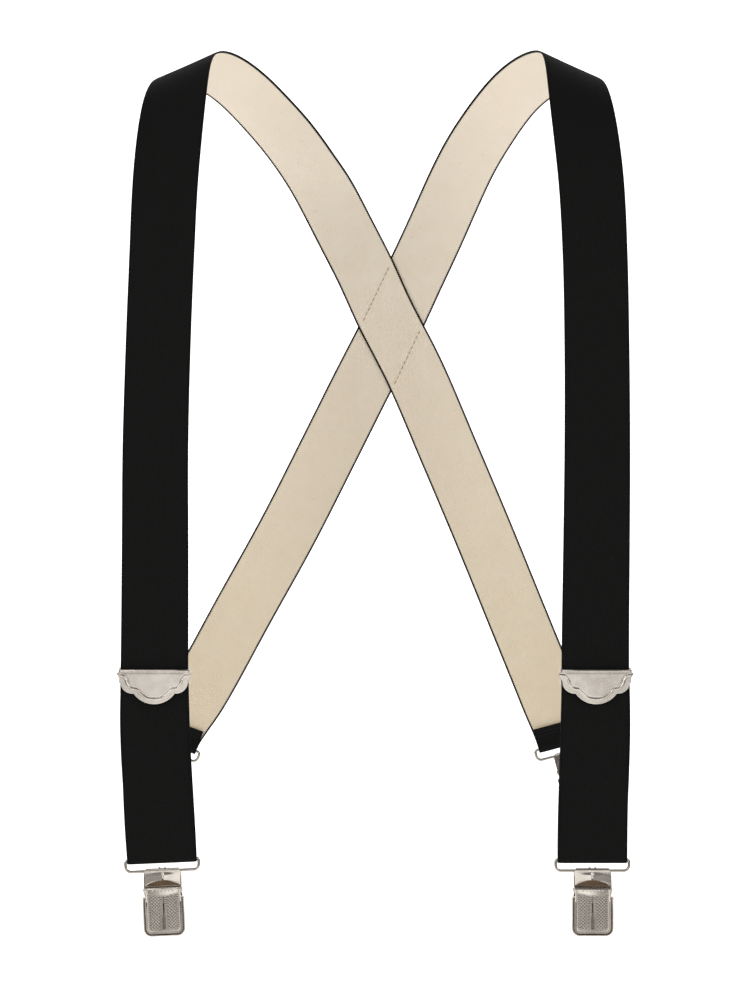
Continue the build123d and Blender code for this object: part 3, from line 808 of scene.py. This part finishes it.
def rounded_outline(
    half_width: float, top: float, bottom: float, radii: tuple[float, float], count: int = 12
) -> Array:
    """Closed outline of a plate with round corners, in its plane.

    Each corner is a quarter circle about a point that lies its radius in from both sides.

    Args:
        half_width: Half the plate's width.
        top: Height of its upper side.
        bottom: Height of its lower side.
        radii: Radius of the upper corners and of the lower ones.
        count: Points to a corner.

    Returns:
        Points (n, 2) of x and z, anticlockwise as seen from the front.
    """
    turn = np.linspace(0.0, np.pi / 2, count)
    upper, lower = radii
    corners = (
        (half_width - lower, bottom + lower, lower, -np.pi / 2),
        (half_width - upper, top - upper, upper, 0.0),
        (-half_width + upper, top - upper, upper, np.pi / 2),
        (-half_width + lower, bottom + lower, lower, np.pi),
    )
    return np.concatenate([
        np.stack([x + radius * np.cos(turn + start), z + radius * np.sin(turn + start)], axis=1)
        for x, z, radius, start in corners
    ])


def smoothstep(value: Array, low: float, high: float) -> Array:
    """Smooth rise from 0 at low to 1 at high."""
    share = np.clip((value - low) / (high - low), 0.0, 1.0)
    return share * share * (3.0 - 2.0 * share)


def slab_patch(front: Array, back: Array) -> Patch:
    """Closed slab between two grids of the same size: both faces, and the rim that joins their borders.

    Args:
        front: Points (rows, columns, 3) of the face that looks towards -y.
        back: Points of the face behind it.

    Returns:
        The slab.
    """
    rows, columns = front.shape[:2]
    number = np.arange(rows * columns).reshape(rows, columns)
    border = np.concatenate([number[0, :-1], number[:-1, -1], number[-1, :0:-1], number[:0:-1, 0]])
    behind = border + rows * columns
    following = np.roll(border, -1)
    rim = np.stack([border, behind, np.roll(behind, -1), following], axis=1)
    facing = grid_faces(rows, columns)
    faces = np.concatenate([facing, facing[:, ::-1] + rows * columns, rim])
    return Patch(np.concatenate([front.reshape(-1, 3), back.reshape(-1, 3)]), faces)


def tube_along(path: Array, radius: float, around: int = 16, closed: bool = False) -> Patch:
    """Round wire along a flat path in the x-z plane: at each point a circle square to the path.

    Args:
        path: Points (n, 3).
        radius: Radius of the wire.
        around: Points round it.
        closed: Whether the path closes on itself.

    Returns:
        The wire.
    """
    if closed:
        along = unit(np.roll(path, -1, axis=0) - np.roll(path, 1, axis=0))
    else:
        along = unit(np.gradient(path, axis=0))
    depth = np.array([0.0, 1.0, 0.0])
    out = np.cross(along, depth)
    turn = np.linspace(0.0, 2 * np.pi, around, endpoint=False)
    circle = out[:, None] * np.cos(turn)[None, :, None] + depth * np.sin(turn)[None, :, None]
    return tube_patch(path[:, None] + circle * radius, closed=closed)


@dataclass
class Clip:
    """Bail and clip of one hanger: wire loop, base stamping, front jaw, axle, spring and knurled lever.

    Local millimetres: x along the bail's bars, y in towards the wearer, z up; z is 0 at the upper bar.
    """

    hanger: Hanger
    frame: dict[str, Any]
    wire: float = 1.1
    bail_half: float = 27.5
    bail_height: float = 8.5
    bail_corners: tuple[float, float] = (2.0, 4.0)
    wire_gap: float = 1.2
    axle_y: float = -4.4
    axle_z: float = -22.5
    lever_half: float = 12.0
    lever_front: float = 1.85    # from the axle to the lever's face
    lever_length: float = 30.7
    lever_corner: float = 3.0
    sheet: float = 0.8
    flange: float = 1.7
    arch_foot: float = -4.1      # the smooth arch's lowest point, from the axle
    arch_rise: float = 2.1
    knurl: float = 2.45          # mm between diamonds in a row
    knurl_height: float = 0.4
    bead_pitch: float = 1.6
    bead_columns: tuple[float, float] = (1.75, 10.6)
    groove_change: float = -16.5 # the groove is narrow above this and wide below
    field_painted_shade: float = 0.56   # painted shade of the knurled field
    flap_half: float = 14.0
    flap_face: float = -2.02
    flap_foot: float = -19.0
    flap_arch: tuple[float, float] = (12.6, 3.5)
    flap_crown: float = 1.1      # how far the flaps' middle stands before their outer sides
    jaw_half: float = 15.7
    jaw_back: float = -2.2
    jaw_top: float = -27.3
    jaw_bottom: float = -57.2
    jaw_corner: float = 6.0
    jaw_rim: float = 2.8
    # Painted shade over the whole jaw tray, which lies behind the lever.
    tray_painted_shade: float = 0.52
    # Painted shade over the whole bail wire.
    wire_painted_shade: float = 0.45

    def __post_init__(self) -> None:
        """Reads the hanger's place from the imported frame."""
        self.place = hanger_place(self.frame, self.hanger)

    def bail_patch(self) -> Patch:
        """The wire's path: a rectangle with round corners, open at the middle of its lower bar."""
        ring = rounded_outline(self.bail_half, 0.0, -self.bail_height, self.bail_corners, 9)
        right, left = ring[:18], ring[18:]
        bottom = [[self.wire_gap / 2, -self.bail_height]], [[-self.wire_gap / 2, -self.bail_height]]
        flat = np.concatenate([bottom[0], right, left, bottom[1]])
        fine = smooth_corners(flat)
        path = np.stack([fine[:, 0], np.zeros(len(fine)), fine[:, 1]], axis=1)
        wire = tube_along(path, self.wire)
        # Painted shade over the whole wire.
        wire.values["painted_shade"] = np.full(len(wire.points), self.wire_painted_shade)
        return wire

    def lever_patch(self) -> Patch:
        """The lever's sheet: a crowned face with a knurl of raised diamonds, ribs, a groove and dimples.

        The face's height is a sum: the crown falls with the square of x; a diamond's height is the
        product of two triangle waves that run at slants across each other; a round cut makes the
        central groove; rows of small domes line the groove and both borders.
        """
        x = np.linspace(-self.lever_half, self.lever_half, 121)[None, :]
        z = np.linspace(1.7, -self.lever_length, 163)[:, None]
        far = np.abs(x)
        bulge = 0.5 * (1 - (x / self.lever_half) ** 2)
        top = smoothstep(z, 0.0, 1.7)
        arch = self.arch_foot + self.arch_rise * (x / self.lever_half) ** 2
        foot_z = -self.lever_length
        inside = smoothstep(arch - z, 0.0, 0.6) * smoothstep(z, foot_z + 1.2, foot_z + 1.8)
        columns = smoothstep(far, 2.6, 3.0) * (1 - smoothstep(far, 9.4, 9.8))
        slants = [np.abs(((x + sign * z) / self.knurl) % 1.0 - 0.5) * 2 for sign in (-1, 1)]
        peaks = np.clip(1.6 * slants[0] * slants[1], 0.0, 1.0) * columns
        diamonds = self.knurl_height * peaks * inside
        bead_z = ((z / self.bead_pitch) % 1.0 - 0.5) * self.bead_pitch
        bead_rows = 1 - smoothstep(-z, -self.groove_change, -self.groove_change + 1.0)
        inner, outer = (
            np.exp(-(((far - column) / 0.6) ** 4) - (bead_z / 0.42) ** 4) * 0.25
            for column in self.bead_columns
        )
        beads = (inner * bead_rows + outer) * inside
        groove_width = 0.3 + 0.55 * smoothstep(-z, -self.groove_change, -self.groove_change + 4.0)
        groove = -0.55 * np.exp(-((x / groove_width) ** 4)) * inside
        border = 0.15 * np.exp(-(((z - arch) / 0.3) ** 2))
        dimple_x = ((x / 2.9) % 1.0 - 0.5) * 2.9
        dimples = -0.22 * np.exp(-((dimple_x / 0.4) ** 2) - ((z + 0.3) / 0.35) ** 2) * (far < 8.7)
        height = bulge + diamonds + beads + groove + border + dimples
        side = np.clip(far - (self.lever_half - 0.6), 0.0, 0.6) / 0.6
        foot = np.clip(foot_z + 0.6 - z, 0.0, 0.6) / 0.6
        edge = 0.6 * (1 - np.sqrt(np.clip(1 - np.clip(side**2 + foot**2, 0, 1), 0, 1)))
        height = height * (1 - np.clip(side + foot, 0, 1)) - edge
        depth = -self.lever_front - height + 1.4 * top**2
        corner = self.lever_corner
        past = np.clip(foot_z + corner - z, 0.0, corner)
        narrow = corner - np.sqrt(corner**2 - past**2)
        wide = x * (1 - narrow / self.lever_half)
        front = np.stack(np.broadcast_arrays(wide, self.axle_y + depth, self.axle_z + z + 0 * x), axis=-1)
        back = front.copy()
        bent = 1.4 * (top**2 + 0 * x) + self.flange * side**2
        back[..., 1] = self.axle_y - self.lever_front + self.sheet + bent
        slab = slab_patch(front, back)
        # Painted shade: the knurled field is darkened, more between the diamonds than on their peaks, and
        # more in the groove and the dimples; the smooth arch above it is not.
        cut = np.clip(-groove / 0.55, 0.0, 1.0)
        painted_shade = np.clip(self.field_painted_shade + 0.32 * (0.5 - peaks) * columns + 0.25 * cut, 0.0, 1.0)
        painted_shade = painted_shade * smoothstep(arch - z, -0.2, 0.6) + 1.6 * np.abs(np.minimum(dimples, 0.0))
        slab.values["painted_shade"] = np.tile(np.broadcast_to(painted_shade, front.shape[:2]).ravel(), 2)
        return slab

    def flap_patch(self, side: int) -> Patch:
        """One front flap: a plate whose foot follows the arch, bent back towards its outer side.

        Args:
            side: 1 or -1, the flap's side of the slit.

        Returns:
            The flap.
        """
        x = np.linspace(self.wire_gap / 2 + 0.1, self.flap_half, 41)[None, :]
        top = -self.bail_height - 0.5
        half, rise = self.flap_arch
        foot = self.flap_foot + rise * np.sqrt(np.clip(1 - (x / half) ** 2, 0.0, 1.0))
        share = np.linspace(0.0, 1.0, 31)[:, None]
        z = top + (foot - top) * share
        bent = smoothstep(top - z, 0.0, 3.0)
        edge_gap = np.minimum(np.minimum(x - x[:, :1], x[:, -1:] - x), z - foot)
        rounding = 0.3 * (1 - np.sqrt(1 - np.clip(1 - edge_gap / 0.3, 0.0, 1.0) ** 2))
        depth = self.flap_face - self.flap_crown * (1 - x / self.flap_half) * bent + rounding * bent
        front = np.stack(np.broadcast_arrays(side * x, depth, z), axis=-1)
        back = front.copy()
        back[..., 1] = np.maximum(depth + 0.4, self.flap_face + 0.15)
        return slab_patch(front, back)

    def spring_head_and_shade_patch(self) -> Patch:
        """The leaf spring's bent head, seen through the flaps' arch: a brown plate with a crown across it,
        which is also painted shade inside the sleeve.
        """
        half, rise = self.flap_arch
        x = np.linspace(-half, half, 25)[None, :]
        z = np.linspace(self.flap_foot + rise + 0.4, self.flap_foot - 0.6, 9)[:, None]
        depth = self.flap_face + self.sheet + 0.5 - 0.4 * (1 - (x / half) ** 2) + 0 * z
        front = np.stack(np.broadcast_arrays(x, depth, z), axis=-1)
        return slab_patch(front, front + np.array([0.0, 0.3, 0.0]))

    def nub_patch(self, x: float) -> Patch:
        """One of the two nubs on the sleeve: rings of a dome, from a straight neck to its tip."""
        angle = np.linspace(0.0, np.pi / 2, 7)[:-1]
        size = np.concatenate([[0.85], 0.85 * np.cos(angle)])
        height = np.concatenate([[-1.2], 0.85 * np.sin(angle)]) + 2.3 - self.bail_height
        turn = np.linspace(0.0, 2 * np.pi, 12, endpoint=False)
        rings = np.stack(np.broadcast_arrays(
            x + size[:, None] * np.cos(turn), size[:, None] * np.sin(turn), height[:, None]), axis=-1)
        return tube_patch(rings)

    def jaw_patch(self) -> Patch:
        """The jaw's tray: rings inside the plate's outline that climb its wall, turn over its rim and
        run in across its floor; the rim fades away along the upper side."""
        span = self.jaw_top - self.jaw_bottom
        # A ring's way in from the outline, how far it stands forward as a share of the rim, and how far
        # in millimetres where the rim has faded away.
        steps = (
            (0.4, 0.0, 0.0), (0.1, 0.0, 0.1), (0.0, 0.05, 0.3), (0.0, 0.75, 0.3), (0.1, 0.92, 0.2),
            (0.4, 1.0, 0.0), (0.7, 0.92, 0.2), (0.85, 0.75, 0.4), (1.0, 0.45, 0.8), (1.5, 0.3, 0.8),
            (2.2, 0.286, 0.8), (5.0, 0.286, 0.8), (9.0, 0.286, 0.8),
        )
        rings = []
        for inset, share, least in steps:
            radii = (max(1.2 - inset, 0.4), max(self.jaw_corner - inset, 0.6))
            top, bottom = self.jaw_top - inset, self.jaw_bottom + inset
            flat = rounded_outline(self.jaw_half - inset, top, bottom, radii, 14)
            rim = 1 - smoothstep(flat[:, 1], self.jaw_top - 3.0, top)
            forward = least * (1 - rim) + share * self.jaw_rim * rim
            rings.append(np.stack([flat[:, 0], self.jaw_back - forward, flat[:, 1]], axis=1))
        middle = (self.jaw_top + self.jaw_bottom) / 2
        spine = rings[-1].copy()
        spine[:, 0] = 0.0
        spine[:, 2] = np.clip(spine[:, 2], middle - span / 4, middle + span / 4)
        behind = spine.copy()
        behind[:, 1] = self.jaw_back
        ordered = [behind] + rings + [spine]
        points = np.concatenate(ordered)
        # Painted shade over the whole tray, which lies behind the lever.
        painted_shade = np.full(len(points), self.tray_painted_shade)
        return Patch(points, grid_faces(len(ordered), len(spine), wrap_columns=True), {"painted_shade": painted_shade})

    def build(self, nickel: bpy.types.Material, steel: bpy.types.Material) -> None:
        """Makes the pieces and fastens each to its body."""
        name = self.hanger.value
        self.add("bail", self.bail_patch(), nickel, f"{name}_bail", [f"{name}_bail"])
        self.add("clip_lever_face", self.lever_patch(), nickel, f"{name}_lever", [])
        self.add("clip_jaw_tray", self.jaw_patch(), nickel, f"{name}_jaw", [])
        front = joined([self.flap_patch(-1), self.flap_patch(1), self.nub_patch(-2.1), self.nub_patch(2.1)])
        self.add("clip_flaps", front, nickel, f"{name}_clip", [])
        # Brown plate behind the flaps' arch: the spring's head, and painted shade inside the sleeve.
        self.add("clip_spring_head_and_shade", self.spring_head_and_shade_patch(), steel, f"{name}_clip", [])
        for part, body, finish in (
            ("clip_base", "clip", nickel), ("clip_axle", "clip", nickel), ("clip_spring", "clip", steel),
        ):
            node = self.frame["nodes"][f"{name}_{part}"]
            piece = softened_copy(f"{name}_{part}_pressed", node, finish)
            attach(piece, f"{name}_{body}")
            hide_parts(f"{name}_{part}")

    def add(self, part: str, patch: Patch, finish: bpy.types.Material, body: str, nodes: list[str]) -> None:
        """Puts one local patch in its place, as a piece that rides on a body."""
        patch.points = self.place.put(patch.points)
        piece = make_object(f"{self.hanger.value}_{part}", patch, finish, weld=0.001)
        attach(piece, body)
        if nodes:
            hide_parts(*nodes)
        LOG.info("%s: %d faces", piece.name, len(piece.data.polygons))


def smooth_corners(flat: Array) -> Array:
    """A flat path with more points on its straights, so that its ends stay square."""
    gaps = np.linalg.norm(np.diff(flat, axis=0), axis=1)
    at = np.concatenate([[0.0], np.cumsum(gaps)])
    extra = np.unique(np.round(np.concatenate([at, np.linspace(0, at[-1], 60)]), 4))
    return np.stack([np.interp(extra, at, flat[:, axis]) for axis in (0, 1)], axis=1)


def circle_through(first: tuple, middle: tuple, last: tuple) -> tuple[float, float, float]:
    """Centre and radius of the circle through three points: it is as far from each of them."""
    points = np.array([first, middle, last], dtype=float)
    sides = 2 * (points[1:] - points[0])
    sums = (points[1:] ** 2).sum(axis=1) - (points[0] ** 2).sum()
    centre = np.linalg.solve(sides, sums)
    return float(centre[0]), float(centre[1]), float(np.linalg.norm(centre - points[0]))


@dataclass
class AdjusterCover:
    """Scalloped lever cover of one adjuster: a rolled upper edge, a plate and its embossed line.

    Local millimetres, with z and y measured from the hinge.
    """

    side: Side
    frame: dict[str, Any]
    half: float = 28.1
    barrel: float = 1.6
    barrel_half: float = 25.5
    sheet: float = 0.8
    height: float = 24.7
    end_drop: float = 1.6
    plate_painted_shade: float = 0.08   # painted shade over the plate, and along its line
    line_painted_shade: float = 0.65
    shoulder: tuple[float, float] = (25.3, -7.2)
    small_lobe: tuple[float, float] = (21.9, -14.6)
    cusp: tuple[float, float] = (15.4, -16.6)
    line: tuple[tuple[float, float], ...] = (
        (0.0, -19.7), (5.0, -18.9), (10.0, -15.3), (12.9, -12.4), (16.6, -11.6), (19.2, -8.9),
        (20.4, -5.6), (23.0, -2.4), (27.4, -1.7),
    )

    def lower_edge(self, x: Array) -> Array:
        """Height of the scalloped edge under each x: two circles, then a straight to the cover's end."""
        far = np.abs(x)
        big = circle_through((-self.cusp[0], self.cusp[1]), (0.0, -self.height), self.cusp)
        small = circle_through(self.cusp, self.small_lobe, self.shoulder)
        large = big[1] - np.sqrt(np.clip(big[2] ** 2 - (far - big[0]) ** 2, 0, None))
        lobe = small[1] - np.sqrt(np.clip(small[2] ** 2 - (far - small[0]) ** 2, 0, None))
        end = np.interp(far, (self.shoulder[0], self.half), (self.shoulder[1], -self.end_drop))
        return np.where(far < self.cusp[0], large, np.where(far < self.shoulder[0], lobe, end))

    def plate_patch(self) -> Patch:
        """The plate: its face is flat, dips along the embossed line with a raised lip beside it, and
        rounds off within half a millimetre of its edge."""
        x = np.sin(np.linspace(-1, 1, 171) * np.pi / 2 * 0.9) / np.sin(np.pi / 2 * 0.9) * self.half
        low = self.lower_edge(x)
        share = np.linspace(0.0, 1.0, 75)[:, None]
        top = 0.5 - 1.1 * smoothstep(np.abs(x), self.barrel_half - 0.7, self.barrel_half + 0.3)
        z = top[None, :] + (low - top)[None, :] * share
        far = np.broadcast_to(np.abs(x)[None, :], z.shape)
        guide = smooth_through(np.array([(a, 0.0, b) for a, b in self.line]), 0.4)[:, (0, 2)]
        gap = np.sqrt(((np.stack([far, z], axis=-1)[:, :, None, :] - guide[None, None]) ** 2).sum(axis=-1))
        nearest = gap.min(axis=-1)
        outside = np.sign(np.interp(far, guide[:, 0], guide[:, 1]) - z)
        relief = -0.42 * np.exp(-((nearest / 0.42) ** 2))
        relief += 0.15 * np.exp(-(((nearest * outside - 1.0) / 0.5) ** 2))
        edge_gap = np.minimum((z - low[None, :]) * 0.8, self.half - far)
        rounding = 0.5 * (1 - np.sqrt(1 - np.clip(1 - edge_gap / 0.5, 0, 1) ** 2))
        bend = 0.4 * smoothstep(z, -3.0, 0.4)
        depth = -(self.barrel + self.sheet / 2) + bend - relief + rounding
        front = np.stack([np.broadcast_to(x, z.shape), depth, z], axis=-1)
        back = front.copy()
        back[..., 1] = np.maximum(-self.barrel + self.sheet / 2, depth + 0.1)
        slab = slab_patch(front, back)
        # Painted shade: slight over the whole plate, and strong along the embossed line's groove.
        painted_shade = self.plate_painted_shade + self.line_painted_shade * np.exp(-((nearest / 0.4) ** 2))
        slab.values["painted_shade"] = np.tile(painted_shade.ravel(), 2)
        return slab

    def roll_patch(self) -> Patch:
        """The rolled edge: a round bar along x whose ends are rounded."""
        x = np.array([-1, -0.995, -0.985, -0.5, 0.0, 0.5, 0.985, 0.995, 1]) * self.barrel_half
        size = np.array([0.75, 0.92, 1, 1, 1, 1, 1, 0.92, 0.75]) * self.barrel
        turn = np.linspace(0, 2 * np.pi, 28, endpoint=False)
        rings = np.stack(np.broadcast_arrays(
            x[:, None], size[:, None] * np.cos(turn), size[:, None] * np.sin(turn)), axis=-1)
        roll = tube_patch(rings)
        roll.values["painted_shade"] = np.zeros(len(roll.points))
        return roll

    def build(self, nickel: bpy.types.Material) -> None:
        """Makes the cover, and softens the frame and pin behind it."""
        side = self.side.value
        joint = joint_of(self.frame, f"{side}_adjuster_lever_hinge")
        origin = np.array(joint["pos_m"]) / MM
        patch = joined([self.plate_patch(), self.roll_patch()])
        patch.points = patch.points + origin
        cover = make_object(f"{side}_adjuster_cover_plate", patch, nickel, weld=0.001)
        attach(cover, f"{side}_adjuster_lever")
        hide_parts(f"{side}_adjuster_cover")
        for part in ("frame", "pin"):
            node = self.frame["nodes"][f"{side}_adjuster_{part}"]
            piece = softened_copy(f"{side}_adjuster_{part}_pressed", node, nickel)
            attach(piece, f"{side}_adjuster")
            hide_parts(f"{side}_adjuster_{part}")


# ---------------------------------------------------------------- studio


@dataclass
class Studio:
    """White seamless paper, soft lights and the camera in front of the wearer."""

    camera_place: tuple[float, float, float] = (-0.0086, -2.8, -0.335)
    lens: float = 129.42
    floor: float = -1.45      # the shoulders of a standing wearer are this far up
    cove_radius: float = 900.0    # mm; the paper's turn from floor to wall
    floor_front: float = -4200.0  # mm; the paper's near end, its wall, its top and half its width
    wall: float = 5000.0
    wall_top: float = 5600.0
    half_width: float = 6000.0
    world_strength: float = 0.2

    def build(self, paper: bpy.types.Material) -> None:
        """Makes the backdrop, the lights and the camera."""
        self.backdrop(paper)
        self.light("front_softbox", (0.0, -3.5, -0.35), (0.0, 0.0, -0.35), (0.95, 1.9), 1.1)
        self.light("left_softbox", (-1.7, -1.9, 0.5), (0.0, 0.0, -0.35), (1.3, 1.6), 2.6)
        self.light("right_softbox", (1.7, -1.9, 0.5), (0.0, 0.0, -0.35), (1.3, 1.6), 2.3)
        self.light("top_softbox", (-0.6, -0.6, 1.5), (0.0, 0.0, -0.2), (1.2, 1.0), 1.6)
        world = bpy.data.worlds.new("studio")
        world.use_nodes = True
        background = world.node_tree.nodes["Background"]
        background.inputs["Color"].default_value = (1.0, 1.0, 1.0, 1.0)
        background.inputs["Strength"].default_value = self.world_strength
        bpy.context.scene.world = world
        bpy.context.scene.view_settings.view_transform = "Standard"
        self.camera()

    def backdrop(self, paper: bpy.types.Material) -> None:
        """Floor that curves up into a wall behind the object: a straight, a quarter circle, a straight."""
        turn = np.linspace(0.0, np.pi / 2, 13)
        radius = self.cove_radius
        depth = np.concatenate([[self.floor_front], self.wall - radius + radius * np.sin(turn), [self.wall]])
        height = np.concatenate([[0.0], radius * (1 - np.cos(turn)), [self.wall_top]]) + self.floor / MM
        x = np.linspace(-self.half_width, self.half_width, 9)
        points = np.stack(np.broadcast_arrays(x[None, :], depth[:, None], height[:, None]), axis=-1)
        patch = Patch(points.reshape(-1, 3), grid_faces(len(depth), len(x)))
        make_object("backdrop", patch, paper)

    def light(
        self, name: str, place: tuple, target: tuple, size: tuple[float, float], radiance: float
    ) -> None:
        """Adds a softbox that looks at a target; its power is its radiance times pi times its area."""
        lamp = bpy.data.lights.new(name, "AREA")
        lamp.shape = "RECTANGLE"
        lamp.size, lamp.size_y = size
        lamp.energy = radiance * np.pi * size[0] * size[1]
        obj = bpy.data.objects.new(name, lamp)
        obj.location = place
        obj.rotation_euler = (Vector(target) - Vector(place)).to_track_quat("-Z", "Y").to_euler()
        bpy.context.scene.collection.objects.link(obj)

    def camera(self) -> None:
        """Adds the camera, level and square to the wearer's front."""
        data = bpy.data.cameras.new("camera")
        data.lens = self.lens
        data.sensor_width = 36.0
        obj = bpy.data.objects.new("camera", data)
        obj.location = self.camera_place
        obj.rotation_euler = (np.pi / 2, 0.0, 0.0)
        bpy.context.scene.collection.objects.link(obj)
        bpy.context.scene.camera = obj


def dress_nodes(
    frame: dict[str, Any], nickel: bpy.types.Material, threads: dict[str, bpy.types.Material]
) -> None:
    """Gives every CAD node that still shows its finish.

    Args:
        frame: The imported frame.
        nickel: Finish of the metal nodes.
        threads: Finish of the stitches, by the word that their node's name holds.
    """
    for name, obj in frame["nodes"].items():
        finish = next((thread for word, thread in threads.items() if word in name), nickel)
        for mesh_slot in obj.material_slots:
            mesh_slot.material = finish


def main() -> None:
    """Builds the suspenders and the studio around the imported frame."""
    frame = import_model()
    cloth = ElasticWebbing().material()
    nickel = NickelPlate().material()
    threads = {
        "crossing_stitches": SewingThread().material(),
        "hem_stitches": SewingThread("black_thread", "#1b1b1a", "#101010").material(),
    }
    # Brown spring steel; on the plate behind the flaps' arch it is also painted shade.
    steel = NickelPlate("spring_steel", "#6f5c48", "#5d4d3c", roughness=0.35).material()
    dress_nodes(frame, nickel, threads)
    Studio().build(StudioPaper().material())
    for side, hanger, slope, stations in (
        (Side.LEFT, Hanger.RIGHT_BACK, 1.0, LEFT_STATIONS),
        (Side.RIGHT, Hanger.LEFT_BACK, -1.0, RIGHT_STATIONS),
    ):
        hinge = np.array(joint_of(frame, f"{side.value}_adjuster_lever_hinge")["pos_m"]) / MM
        Strap(side, hanger, slope, stations, hinge, frame).build(cloth)
        AdjusterCover(side, frame).build(nickel)
    for hanger in Hanger:
        Clip(hanger, frame).build(nickel, steel)


if __name__ == "__main__":
    logging.basicConfig(level=logging.INFO)
    main()
